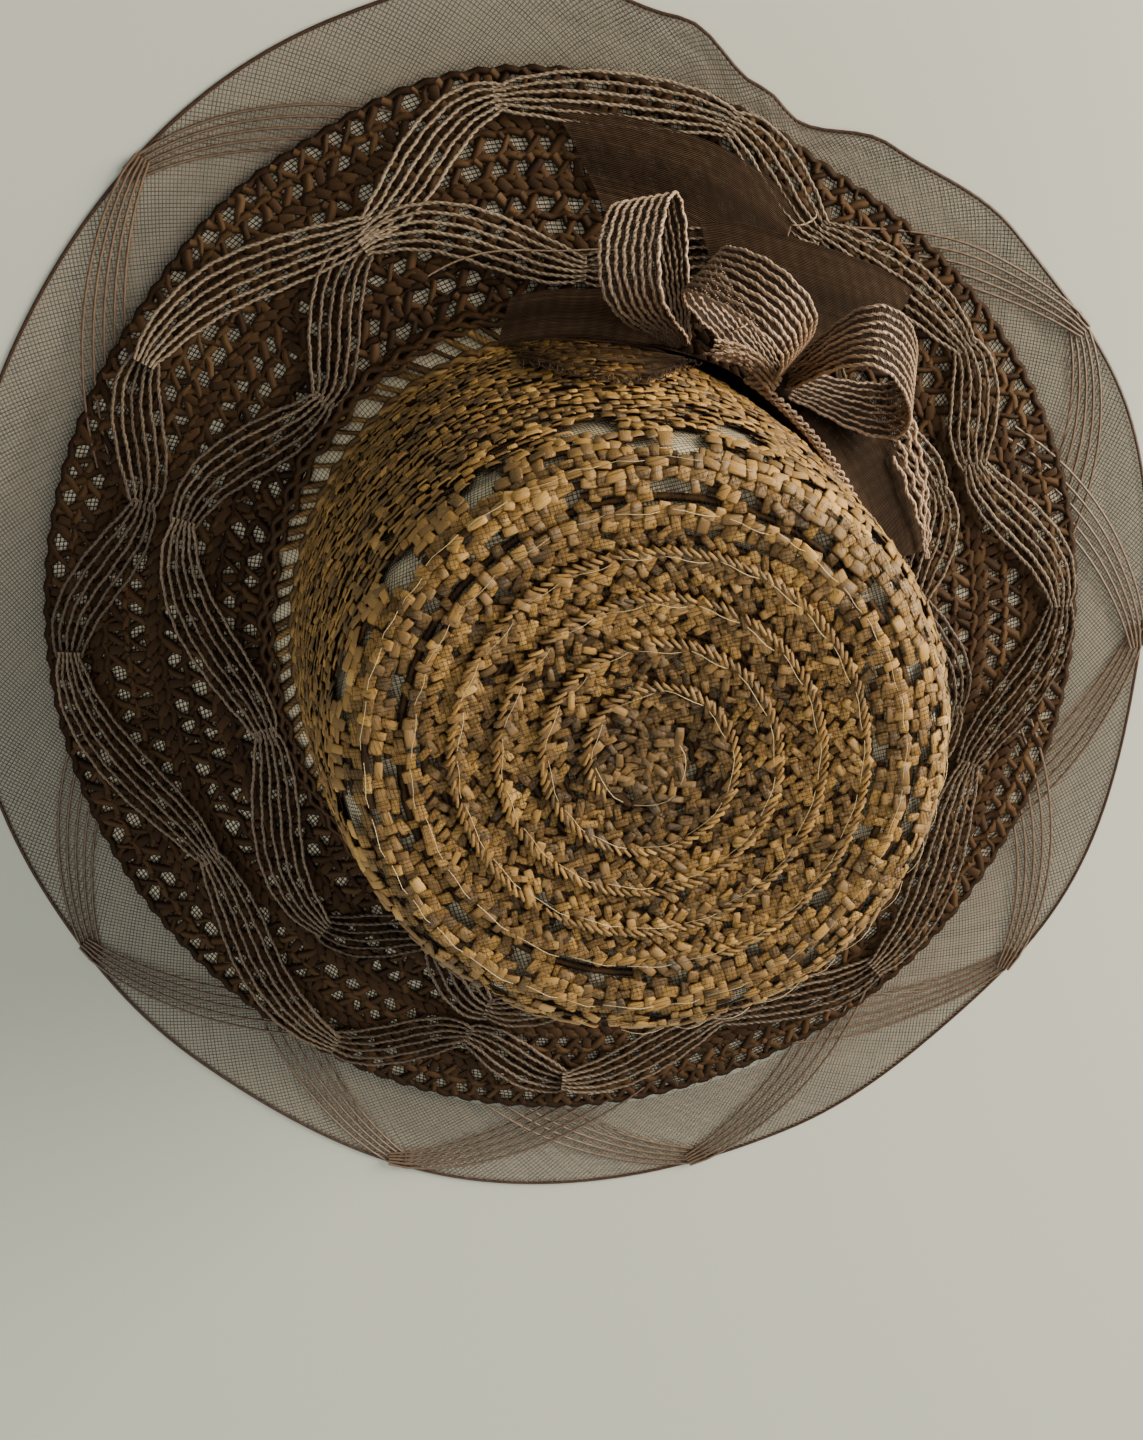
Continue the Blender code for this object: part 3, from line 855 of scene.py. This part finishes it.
def make_crown():
    """The plait, square on the wall and on the bias on the tip, its lower straws and row edges."""
    wall, wall_under = weave(WALL_LANES, WALL_PITCH, WALL_STRAW, 0, EDGES_FROM, False)
    tip, tip_under = weave(TIP_LANES, TIP_PITCH, TIP_STRAW, EDGES_FROM, CROWN_LONG, True)
    pieces = [
        make_tiles("crown_wall_plait", *wall, golden_straw),
        make_tiles("crown_tip_plait", *tip, golden_straw),
        make_strands("crown_under_straws", [wall_under, tip_under], UNDER_STRAW, 3, shaded_straw),
    ]

    angles = spiral_march(0, EDGE_PITCH)
    climbs = PLAIT_WIDTH * angles / 360
    edged = (climbs > EDGES_FROM) & (climbs < EDGES_TO) & (chance.random(len(angles)) > 0.04)
    angles, climbs = angles[edged], climbs[edged]
    lean = EDGE_LEAN + chance.normal(0, 6, len(angles))
    rows = [(*lay_straws(angles, climbs, step_height(climbs) + 0.0002, lean), EDGE_STRAW)]
    count = MIDDLE_STRAWS
    angles = chance.uniform(0, 360, count)
    climbs = CROWN_LONG - MIDDLE_REACH * np.sqrt(chance.random(count)) - 0.0004
    lift = chance.uniform(0.0006, 0.0015, count)
    rows.append((*lay_straws(angles, climbs, lift, chance.uniform(0, 180, count)), MIDDLE_STRAW))
    points, facing, along = (np.concatenate([row[part] for row in rows]) for part in range(3))
    size = np.concatenate([np.tile(row[3], (len(row[0]), 1)) for row in rows])
    size = size * chance.uniform(0.88, 1.14, size.shape)
    shade = np.clip(chance.normal(0.53, 0.18, len(points)), 0, 1)
    # Painted shade: the straws that close the tip's middle are darker.
    shade[-count:] *= 0.6
    pieces.append(make_tiles("crown_row_edges", points, facing, along, size, shade, golden_straw))
    return pieces


def make_skirt():
    """The open row at the foot: slanted straws between two edges, over cloth with a dark net on it."""
    turns = np.arange(SKIRT_FROM, SKIRT_TO, math.degrees(SKIRT_EVERY / SEAT_MEAN))
    share, starts = np.meshgrid(np.linspace(-0.06, 1.0, 5), turns)
    angles = starts + chance.normal(0, 0.55, (len(turns), 1)) + share * SKIRT_SLANT
    groups = [strands_on(skirt_at, angles, share, 0.0004, chance.uniform(0.6, 1.3, (len(turns), 1)))]
    angles = np.linspace(SKIRT_FROM - 2, SKIRT_TO + 2, 420)[None]
    for share in (0.02, 0.14):
        wave = np.radians(angles * 70) + share * 20
        lift = 0.0007 + 0.0004 * np.cos(wave)
        groups.append(strands_on(skirt_at, angles, share + 0.07 * np.sin(wave), lift))
    straws = make_strands("crown_foot_straws", groups, SKIRT_STRAW, 4, dull_straw)
    groups = []
    for share in (0.90, 1.02, 1.16):
        wave = np.radians(angles * 60) + share * 20
        places = share + 0.10 * np.sin(wave) + 0.04 * np.sin(np.radians(angles * 23))
        groups.append(strands_on(skirt_at, angles, places, 0.0010))
    edge = make_strands("crown_foot_edge", groups, SKIRT_EDGE, 4, shaded_straw)

    places, angles = grid(np.linspace(0, 1.05, 4), np.linspace(SKIRT_FROM, SKIRT_TO, 160))
    # The pale cloth under the open row is painted light that shows through its cells.
    sheet = make_sheet("crown_foot_net", skirt_at(angles, places, -0.0005), False, False, lining_and_backlight_cloth)
    places, angles = grid(np.linspace(0.05, 1, 8), np.linspace(SKIRT_FROM, SKIRT_TO, 240))
    groups = [strands_on(skirt_at, angles, places, -0.0002)]
    turns = np.arange(SKIRT_FROM, SKIRT_TO, math.degrees(MESH / SEAT_MEAN))
    places, angles = np.meshgrid((0.0, 1.0), turns)
    groups.append(strands_on(skirt_at, angles, places, -0.0002))
    threads = make_strands("crown_foot_threads", groups, (MESH_THREAD, MESH_THREAD), 3, dark_net)
    return [straws, edge, sheet, threads]


def square_net(name, reach, thread, lift_at):
    """A square net that hangs over the crown from the tip's middle, out to a reach."""
    groups = []
    for axis in (0, 1):
        for line in np.arange(-reach + MESH, reach, MESH):
            half = math.sqrt(reach * reach - line * line)
            along = np.linspace(-half, half, max(3, round(half / MESH_STEP)))
            across = line + 0.0002 * np.sin(along * 210 + line * 900)
            angles = np.degrees(np.arctan2(along, across) if axis else np.arctan2(across, along))[None]
            climbs = CROWN_LONG - np.hypot(along, across)[None]
            groups.append(strands_on(crown_at, angles, climbs, lift_at(angles, climbs)))
    return make_strands(name, groups, (thread, thread), 3, dark_net)


def over_straw(angles, climbs):
    """The height of a thread that lies on the plait's rows."""
    return step_height(climbs) * (1 - (climbs / PLAIT_WIDTH - angles / 360) % 1) + 0.0007


def make_lining():
    """The pale lining, partly painted light, the dark net on it, and the same net over the straw of shoulder
    and tip.
    """
    steps = np.concatenate((
        np.linspace(0.001, STRAIGHT, 14), STRAIGHT + ROUND_LONG * np.linspace(0.15, 1, 6),
        CROWN_LONG - TIP_HALF * np.linspace(0.85, 0.03, 7),
    ))
    climbs, angles = grid(steps, round_the_hat(96))
    points = crown_at(angles, climbs, LINING_DEPTH)
    return [
        make_sheet("crown_lining_cloth", points, True, True, lining_and_backlight_cloth),
        square_net("crown_lining_net", LINING_REACH, MESH_THREAD, lambda *at: LINING_DEPTH + 0.0004),
        square_net("crown_over_net", OVER_REACH, OVER_THREAD, over_straw),
    ]


def make_row_threads():
    """Running stitches along every plait row, thin and pale, dipping between the straws."""
    points, facing = [], []
    steps = np.linspace(0, 1, 5)
    angle = -300.0
    while True:
        climb = PLAIT_WIDTH * (angle / 360) + STITCH_RISE
        if climb > CROWN_LONG - 0.008:
            break
        radius = crown_radius(angle, climb)
        long = chance.uniform(0.008, 0.014)
        if climb > STITCHES_FROM:
            span = angle + np.degrees(long / radius) * steps
            climbs = PLAIT_WIDTH * (span / 360) + STITCH_RISE
            climbs = climbs + chance.normal(0, 0.0003) + 0.0004 * np.sin(steps * 5)
            lift = step_height(climbs) + 0.0006 + 0.0013 * np.sin(np.pi * steps)
            points.append(crown_at(span, climbs, lift))
            facing.append(facing_of(crown_at, span, climbs, lift))
        angle += math.degrees(long * 1.25 / radius)
    stitches = strand_group(np.array(points), np.array(facing))
    return [make_strands("crown_row_stitches", [stitches], (THREAD, THREAD), 3, sewing)]


# Brim


def make_brim():
    """Rounds of lace straw: two open rows of lattice, then a close plait, from the edge inwards."""
    lattice, ribbons, plait = [], [], []
    gap = BRIM_REACH - HEAD_MEAN - SEAT_MARGIN
    row_tall = LACE_ROW / gap
    lift = -BRIM_WALL / 2

    def count_at(spot, pitch):
        return round(2 * math.pi * (SEAT_MEAN + gap * spot) / pitch)

    for turn in range(LACE_WHOLE + 1):
        open_rows = 2 if turn < LACE_WHOLE else 0
        top = 1 - turn / LACE_ROUNDS - 0.0012 / gap
        for row in range(open_rows):
            high = top - row * row_tall
            low = high - row_tall
            count = count_at((low + high) / 2, LACE_PITCH)
            starts = (np.arange(count) + row * 0.5)[:, None] * 360 / count
            shut = chance.random(count) < LACE_SHUT
            middles = starts[shut, 0] + 180 / count
            plait.append((middles, np.full(len(middles), (low + high) / 2), np.full(len(middles), 90.0)))
            share = np.linspace(0, 1, 4)
            for way in (-1, 1):
                wander = chance.normal(0, 0.09, (count, 1)) + chance.normal(0, 0.05, (count, 4))
                angles = starts + (way * (share - 0.5) * LACE_SWEEP + wander) * 360 / count
                spots = np.broadcast_to(mix(low, high, share), angles.shape)
                lifts = lift + way * 0.0005 * np.cos(share * 2 * math.pi)
                full = chance.uniform(0.7, 1.5, (count, 1))
                lattice.append(strands_on(brim_at, angles, spots, lifts, full))
        for row in range(open_rows + 1):
            spot = top - row * row_tall
            waves = count_at(spot, LACE_PITCH)
            angles = round_the_hat(waves * 4)[None]
            phase = np.radians(angles * waves)
            spots = spot + 0.0005 / gap * np.sin(phase)
            lifts = lift + 0.0005 * np.cos(phase)
            ribbons.append(strands_on(brim_at, angles, spots, lifts, closed=True))
        place = top - open_rows * row_tall - 0.0016 / gap
        lane = 0
        while place > max(1 - (turn + 1) / LACE_ROUNDS, -0.04):
            count = count_at(place, PLAIT_STRAW_PITCH)
            angles = (np.arange(count) + lane * 0.5) * 360 / count
            lean = PLAIT_STRAW_LEAN if lane % 2 else -PLAIT_STRAW_LEAN
            plait.append((angles, np.full(count, place), np.full(count, lean)))
            place -= PLAIT_STRAW_LANE / gap
            lane += 1

    angles, spots, lean = (np.concatenate(column) for column in zip(*plait))
    count = len(angles)
    facing = facing_of(brim_at, angles, spots, lift)
    along = turned(facing, along_of(brim_at, angles, spots, lift), lean + chance.normal(0, 7, count))
    size = np.stack((
        LACE_STRAW[0] * chance.uniform(0.9, 1.1, count), LACE_STRAW[1] * chance.uniform(0.85, 1.1, count),
        LACE_STRAW[2] * chance.uniform(0.7, 1.2, count),
    ), axis=-1)
    shade = np.clip(chance.normal(0.4, 0.13, count), 0, 1)
    points = brim_at(angles, spots, lift)
    return [
        make_strands("brim_lace_lattice", lattice, LACE_STRAND, 4, dark_straw),
        make_strands("brim_lace_ribbons", ribbons, LACE_RIBBON, 4, dark_straw),
        make_tiles("brim_lace_plait", points, facing, along, size, shade, dark_straw),
    ]


def make_under_net():
    """What shows through the openings of the lace: a pale cloth that is painted light, and dark threads over
    it.
    """
    lift = -BRIM_WALL - 0.0001
    spots, angles = grid(np.linspace(0.0, UNDER_EDGE, 6), round_the_hat(180))
    points = brim_at(angles, spots, lift)[::-1]
    cloth = make_sheet("brim_under_cloth", points, True, False, brim_backlight_sheet)
    lift = lift + 0.0004
    rings = np.linspace(0.03, UNDER_EDGE, round((BRIM_REACH - HEAD_MEAN) / LINING_SPACING))
    spots, angles = grid(rings, round_the_hat(96))
    groups = [strands_on(brim_at, angles, spots, lift, closed=True)]
    for first, last, count in ((0.0, 0.5, 500), (0.5, UNDER_EDGE, 720)):
        spots, angles = np.meshgrid(np.linspace(first, last, 3), round_the_hat(count))
        groups.append(strands_on(brim_at, angles + 8 * spots, spots, lift))
    return [cloth, make_strands("brim_under_net", groups, (UNDER_THREAD, UNDER_THREAD), 3, dark_net)]


def make_veil():
    """Crin on the bias: two sets of threads that cross, every fourth one going on under the brim."""
    groups = []
    span = BORDER_REACH - HEAD_MEAN
    parts = ((VEIL_INNER, 1.0, VEIL_STRANDS), (0.0, VEIL_INNER, VEIL_STRANDS // 4))
    for way in (-1, 1):
        for first, last, count in parts:
            steps = max(3, round((last - first) * span * 1.41 / STEP_LONG) + 1)
            share = np.linspace(first, last, steps)
            spin = np.degrees(np.log((HEAD_MEAN + span * share) / (HEAD_MEAN + span * VEIL_INNER)))
            angles = round_the_hat(count)[:, None] + way * spin
            spots = np.broadcast_to(share, angles.shape)
            groups.append(strands_on(veil_at, angles, spots, VEIL_WALL / 2 + way * 0.00015))
    return [make_strands("brim_veil_net", groups, (VEIL_THREAD, VEIL_THREAD), 3, sheer_net)]


def bundle(surface, angles, spots, lift, ribs, width, opened):
    """Ribs side by side along a line on a surface: points, ribs by steps by three."""
    middle = surface(angles, spots, lift)
    side = unit(np.cross(np.gradient(middle, axis=0), (0, 0, -1)))
    across = np.linspace(-0.5, 0.5, ribs)[:, None] * width * opened
    return middle + side * across[..., None]


def make_border_ribs():
    """Dark drawn ribs that cross the border in arcs, gathered at its edge, and the wire in its edge."""
    groups = []
    share = np.linspace(0, 1, 16)
    opened = mix(0.25, 1, share ** 0.7)
    for turn in BORDER_TURNS:
        for way in (-1, 1):
            angles = turn + way * (BORDER_SWEEP * share - 1)
            spots = UNDER_EDGE - BORDER_DEPTH * share ** 1.25
            lift = VEIL_WALL + 0.0003 + 0.0004 * way
            points = bundle(veil_at, angles, spots, lift, BORDER_RIBS, BORDER_BUNDLE, opened)
            groups.append(strand_group(points, UP, shade=0.15))
    ribs = make_strands("border_ribs", groups, (BORDER_RIB, BORDER_RIB * 0.6), 4, sheer_net)
    angles = round_the_hat(240)[None]
    edge = strands_on(veil_at, angles, np.full(angles.shape, 0.998), VEIL_WALL / 2, closed=True)
    return [ribs, make_strands("border_edge", [edge], BORDER_WIRE, 5, brown_crin)]


# Swags


def run_of(points):
    """The way along each strand to each of its points."""
    steps = np.linalg.norm(np.diff(points, axis=1), axis=-1)
    return np.concatenate((np.zeros((len(points), 1)), np.cumsum(steps, axis=1)), axis=1)


def aside(points, facing):
    """The way across each strand, in its surface."""
    return unit(np.cross(facing, unit(np.gradient(points, axis=1))))


def wavy(points, facing, swing, pitch):
    """Strands that snake a little about their own line."""
    pitch = pitch * chance.uniform(0.8, 1.25, (len(points), 1))
    turn = 2 * math.pi * run_of(points) / pitch + chance.uniform(0, 2 * math.pi, (len(points), 1))
    return points + aside(points, facing) * (swing * (np.sin(turn) + 0.6 * np.sin(turn * 0.37)))[..., None]


def plied(points, facing, shade, fullness=1.0):
    """Groups for cords of two threads twisted about each other along the strands given."""
    side = aside(points, facing)
    turn = 2 * math.pi * run_of(points) / CORD_PITCH + chance.uniform(0, 2 * math.pi, (len(points), 1))
    groups = []
    for ply in (1, -1):
        radius = ply * (CORD - PLY) / 2 * np.broadcast_to(fullness, turn.shape)
        shift = side * (radius * np.cos(turn))[..., None] + facing * (radius * np.sin(turn))[..., None]
        groups.append(strand_group(points + shift, facing, fullness, shade))
    return groups


def cord_on(surface, angles, places, lift, shade, fullness):
    """One twisted cord that lies on a surface."""
    facing = facing_of(surface, angles, places, lift)[None]
    return plied(surface(angles, places, lift)[None], facing, shade, fullness[None])


def make_swag(node, table):
    """A bundle of cords from each turn of the zigzag to the next, gathered at both ends."""
    groups = []
    for turn, (start, _, pale) in enumerate(table):
        span = (table[(turn + 1) % len(table)][0] - start) % 360
        coarse = start + span * np.linspace(0, 1, 9)
        long = run_of(brim_at(coarse, read_table(table, coarse), SWAG_LIFT)[None])[0, -1]
        share = np.linspace(-0.03, 1.03, round(long / CORD_STEP))
        angles = start + span * share
        # Paler stretches lie over the darker ones, whose darker colour is painted shade.
        lift = SWAG_LIFT + (SWAG_OVER if pale > 0.4 else 0.0)
        gathered = np.clip(np.sin(np.pi * np.clip(share, 0, 1)), 0, 1) ** 0.65
        opened = mix(SWAG_GATHER, 1, gathered)
        points = bundle(brim_at, angles, read_table(table, angles), lift, SWAG_RIBS, SWAG_SPREAD, opened)
        points[..., 2] += 0.0006 * chance.random((SWAG_RIBS, 1))
        facing = np.broadcast_to(UP, points.shape)
        points = wavy(points, facing, 0.00014, 0.0110)
        shade = np.clip(pale + chance.normal(0, 0.08, (SWAG_RIBS, 1)), 0, 1)
        groups.extend(plied(points, facing, shade))
    return [make_strands(node + "_ribs", groups, (PLY, PLY), 3, taupe_cord)]


# Band and bow


def band_at(angles, height, lift):
    """Points on the outside of the band round the crown's foot, which stands off the crown by the bow."""
    opened = np.clip((BAND_FROM - angles) / FLARE_SPAN, 0, 1)
    flare = BAND_FLARE * opened * np.clip(height / BAND_TALL, 0, 1)
    return crown_at(angles, height, GAP + flare + BAND_WALL + lift)


def make_band():
    """The band's two sets of drawn threads, round the crown and slantwise up it."""
    lift = -BAND_WALL / 2
    spots, angles = grid(np.linspace(0.0004, BAND_TALL, 30), np.linspace(BAND_TO, BAND_FROM, 60))
    wander = 0.0003 * np.sin(np.radians(angles * 7 + spots * 9000))
    groups = [strands_on(band_at, angles, spots, lift + wander)]
    spots, angles = np.meshgrid(BAND_TALL * np.linspace(0, 1, 6), np.linspace(BAND_TO, BAND_FROM - 5, 130))
    groups.append(strands_on(band_at, angles + 5 * spots / BAND_TALL, spots, lift + 0.0003, 0.6))
    return [make_strands("crown_band_threads", groups, BAND_THREAD, 4, brown_crin)]


def bow_centre(angle, radius):
    """The middle of what gathers a loop, of that radius, seated on the band's outside."""
    return band_at(float(angle), BOW_RISE, GAP + radius)


def compass(heading, rise):
    turn = math.radians(heading)
    lift = math.radians(rise)
    return np.array((math.cos(turn) * math.cos(lift), math.sin(turn) * math.cos(lift), math.sin(lift)))


def loop_surface(row):
    """A function of the way along a loop's ribbon and across it: the points, and the way out of it."""
    _, place, hold, long, tall, wide, heading, rise, lean, dip = row
    length = LOOP_LENGTH * long
    height = LOOP_HEIGHT * tall
    width = RIBBON_WIDTH * wide
    across = compass(lean, -dip)
    outward = compass(heading, rise)
    outward = unit(outward - across * outward.dot(across))
    upward = np.cross(across, outward)
    centre = bow_centre(place, hold)

    def middle_line(share):
        reach = np.sin(np.pi * share)
        swing = LOOP_FULLNESS * np.sin(2 * np.pi * share) * np.abs(reach) ** 0.3
        return centre + outward * (length * reach)[..., None] + upward * (height * swing)[..., None]

    def surface(share, edge):
        opened = mix(RIBBON_PINCH, 1, np.abs(np.sin(np.pi * share)) ** 0.7)
        ahead = unit(middle_line(share + 0.001) - middle_line(share - 0.001))
        normal = unit(np.cross(across, ahead))
        return middle_line(share) + across * ((edge - UPPER_SHARE) * width * opened)[..., None], normal

    return surface


def make_bow_loop(row):
    """Cords along the loop's ribbon, on a fine net of drawn threads."""
    surface = loop_surface(row)
    first, last = LOOP_START, 1 - LOOP_START
    spots, along = grid(np.linspace(0, 1, LOOP_RIBS), np.linspace(first, last, 150))
    points, facing = surface(along, spots)
    points = wavy(points + facing * 0.0002, facing, 0.00022, 0.0075)
    shade = np.clip(chance.normal(0.64, 0.14, (LOOP_RIBS, 1)), 0, 1)
    ribs = plied(points, facing, shade, LOOP_CORD)
    cords = make_strands(row[0] + "_ribs", ribs, (PLY, PLY), 4, bow_cord)
    spots, along = grid(np.linspace(0.02, 0.98, 40), np.linspace(first, last, 50))
    net = [strand_group(*surface(along, spots))]
    along, spots = grid(np.linspace(first, last, 110), np.linspace(0, 1, 6))
    net.append(strand_group(*surface(along, spots)))
    return [cords, make_strands(row[0] + "_net", net, LOOP_THREAD, 3, loop_crin)]


def make_knot():
    """Ribbon wound over the bow's middle: a ball of drawn threads."""
    out = compass(BOW_ANGLE, 0)
    side = np.array((-out[1], out[0], 0.0))
    radius = KNOT_RADIUS - 0.0006
    turns = np.linspace(0, 2 * math.pi, 24, endpoint=False)[:, None]
    circle = np.cos(turns) * out + np.sin(turns) * UP
    place = np.linspace(-0.9, 0.9, 22)[:, None, None]
    ring = np.sqrt(1 - place * place) * radius
    points = bow_centre(BOW_ANGLE, KNOT_RADIUS) + side * place * radius + circle * ring
    threads = strand_group(points, circle, closed=True)
    return [make_strands("bow_knot_threads", [threads], KNOT_THREAD, 5, brown_crin)]


def make_tail():
    """Cords that run on from the knot along the band's upper edge, and their frayed cut ends."""
    foot = BAND_TALL + GAP
    groups = []
    share = np.linspace(0, 1, 110)
    for cord in range(3):
        angles = mix(FRAY_TO + 4.0, TAIL_TO, share)
        turn = 2 * math.pi * (share * 9 + cord / 3)
        heights = foot + TAIL_TALL / 2 + 0.0011 * np.cos(turn)
        lifts = 0.0006 + 0.0011 * np.sin(turn)
        groups.extend(cord_on(band_at, angles, heights, lifts, 0.85, mix(1.0, 0.55, share)))
    share = np.linspace(0, 1, 34)
    for cord in range(11):
        angles = mix(FRAY_TO - 1.0, TAIL_FROM, share * chance.uniform(0.82, 1.0))
        heights = foot + FRAY_TALL / 2 + (cord - 5) / 4 * FRAY_TALL / 2 * share
        heights = heights + 0.0007 * np.sin(2 * math.pi * share * 6 + cord)
        lifts = 0.0010 + 0.0016 * (cord % 4) + 0.0020 * np.sin(share * 3)
        groups.extend(cord_on(band_at, angles, heights, lifts, 0.95, mix(1.0, 0.7, share)))
    return [make_strands("bow_tail_cords", groups, (PLY, PLY), 4, bow_cord)]


def read_drape(angles):
    """How far up the crown the drape behind the bow reaches."""
    turns, climbs = zip(*DRAPE_TOP)
    return np.interp(angles, turns, climbs)


def make_sheets():
    """Smooth crin ribbon that lies round the bow: folds over the brim, and a drape up the crown."""
    groups = []
    for corners, rise, bulge, count in RIBBON_FOLDS:
        across, along = grid(np.linspace(0, 1, count), np.linspace(0, 1, 16))
        angles, places = (
            mix(mix(first, second, along), mix(fourth, third, along), across)
            for first, second, third, fourth in zip(*corners)
        )
        swell = np.sin(np.pi * along) * np.sin(np.pi * mix(0.15, 1, across))
        points = brim_at(angles, places, mix(*rise, across) + bulge * swell)
        shade = 0.4 + 0.25 * np.sin(across[:, :1] * 9) + chance.normal(0, 0.12, (count, 1))
        groups.append(strand_group(points, UP, shade=np.clip(shade, 0, 1)))
    heights, angles = grid(np.linspace(0.0, 1.0, 84), np.linspace(DRAPE_FROM, DRAPE_TO, 26))
    lifts = 0.0014 + 0.0016 * heights + 0.0004 * np.sin(heights * 30 + np.radians(angles) * 9)
    groups.append(strands_on(crown_at, angles, heights * read_drape(angles), lifts))
    return [make_strands("ribbon_sheets", groups, FOLD_THREAD, 4, smooth_crin)]


def make_wisps():
    """A tuft of cord ends below the bow, loose threads round it and curls on the drape's edge."""
    groups = []
    share = np.linspace(0, 1, 60)
    for cord in range(4):
        angles = mix(TUFT_FROM[0] + 1.6 * cord, TUFT_TO[0], share ** 1.1)
        spots = mix(TUFT_FROM[1] + 0.055 * (cord - 1.5), TUFT_TO[1], share)
        lifts = 0.0075 - 0.003 * share + 0.002 * np.sin(share * 3)
        points = brim_at(angles, spots, lifts)[None]
        facing = np.broadcast_to(UP, points.shape)
        groups.extend(plied(wavy(points, facing, 0.0005, 0.0085), facing, 0.8, mix(1.0, 0.6, share)[None]))
    tuft = make_strands("bow_tuft", groups, (PLY, PLY), 4, bow_cord)
    groups = []
    for start, end, height in LOOSE_THREADS:
        angles = mix(start[0], end[0], share) + 0.6 * np.sin(share * 7 + start[0])
        spots = mix(start[1], end[1], share) + 0.012 * np.sin(share * 9)
        points = brim_at(angles, spots, 0.004 + height * np.sin(share * math.pi))[None]
        groups.append(strand_group(points, UP))
    loose = make_strands("loose_threads", groups, LOOSE_THREAD, 4, bow_cord)
    groups = []
    circle = np.linspace(0, 5.0, 30)
    for place in np.arange(DRAPE_FROM + 2, DRAPE_TO, 0.9):
        angles = place + chance.normal(0, 0.6) + 0.7 * np.cos(circle) * chance.uniform(0.5, 1.2)
        climbs = read_drape(place) + 0.0010 * np.sin(circle) * chance.uniform(0.4, 1.4)
        lifts = 0.0034 + 0.0006 * np.cos(circle * 2)
        groups.append(strands_on(crown_at, angles[None], climbs[None], lifts[None]))
    return [tuft, loose, make_strands("drape_curls", groups, CURL_THREAD, 4, loop_crin)]


# Stage, light and camera

FLOOR_HALF = 3.0

# The camera's place, axes and lens, found from the ovals of the hat in the picture
CAMERA_PLACE = (-0.00842, 0.15342, 0.55758)
CAMERA_RIGHT = (0.96381, -0.25356, 0.08239)
CAMERA_UP = (0.26661, 0.91663, -0.29783)
CAMERA_BACK = (0.0, 0.30902, 0.95106)
CAMERA_LENS = 43.75
CAMERA_SENSOR = 36


def make_floor():
    """A pale matt floor, a hair below the hat."""
    mesh = bpy.data.meshes.new("floor")
    corners = ((-1, -1), (1, -1), (1, 1), (-1, 1))
    mesh.from_pydata([(x * FLOOR_HALF, y * FLOOR_HALF, -0.0002) for x, y in corners], [], [range(4)])
    made, _, shader = new_finish("pale_paper", 0.9)
    shader.inputs["Base Color"].default_value = linear("#bcc2b7")
    mesh.materials.append(made)
    add_object("floor", mesh)


def add_area(name, location, target, size, power, colour):
    data = bpy.data.lights.new(name, "AREA")
    data.size = size
    data.energy = power
    data.color = linear(colour)[:3]
    lamp = add_object(name, data)
    lamp.location = location
    lamp.rotation_mode = "QUATERNION"
    lamp.rotation_quaternion = (Vector(target) - Vector(location)).to_track_quat("-Z", "Y")


def make_light():
    """A soft room, a window on the right and the sky behind the camera."""
    world = bpy.data.worlds.new("soft_room")
    bpy.context.scene.world = world
    world.use_nodes = True
    background = world.node_tree.nodes["Background"]
    background.inputs["Color"].default_value = linear("#efece4")
    background.inputs["Strength"].default_value = 0.46
    add_area("window", (1.46, 0.20, 0.50), (0.0, 0.0, 0.06), 0.9, 80, "#fff0da")
    add_area("sky_fill", (-0.5, -0.8, 1.0), (0.0, 0.0, 0.04), 1.6, 13, "#f4f0e6")


def make_camera():
    data = bpy.data.cameras.new("camera")
    data.lens = CAMERA_LENS
    data.sensor_width = CAMERA_SENSOR
    data.clip_start = 0.01
    camera = add_object("camera", data)
    axes = Matrix((CAMERA_RIGHT, CAMERA_UP, CAMERA_BACK)).transposed().to_4x4()
    camera.matrix_world = Matrix.Translation(CAMERA_PLACE) @ axes
    bpy.context.scene.camera = camera


make_camera()
make_floor()
make_light()

# What makes the hat's pieces. Columns: maker, slot, the node that its pieces replace
MAKERS = (
    (make_crown, "golden_straw", "crown"),
    (make_row_threads, "golden_straw", "crown"),
    (make_skirt, "golden_straw", "crown"),
    (make_lining, "pale_crin_net", "crown_lining"),
    (make_brim, "dark_lace_straw", "brim"),
    (make_under_net, "pale_crin_net", "brim_veil"),
    (make_veil, "sheer_crin", "brim_veil"),
    (make_border_ribs, "sheer_crin", "brim_veil"),
    (lambda: make_swag("outer_swag", OUTER_SWAG), "taupe_ribs", "outer_swag"),
    (lambda: make_swag("inner_swag", INNER_SWAG), "taupe_ribs", "inner_swag"),
    (make_band, "brown_crin", "crown_band"),
    (make_knot, "brown_crin", "bow_knot"),
    *((lambda row=row: make_bow_loop(row), "taupe_ribs", row[0]) for row in BOW_LOOPS),
    (make_tail, "taupe_ribs", "bow_tail"),
    (make_sheets, "brown_crin"),
    (make_wisps, "taupe_ribs"),
)
for maker, slot, *nodes in MAKERS:
    for piece in maker():
        keep(piece, slot, *nodes)
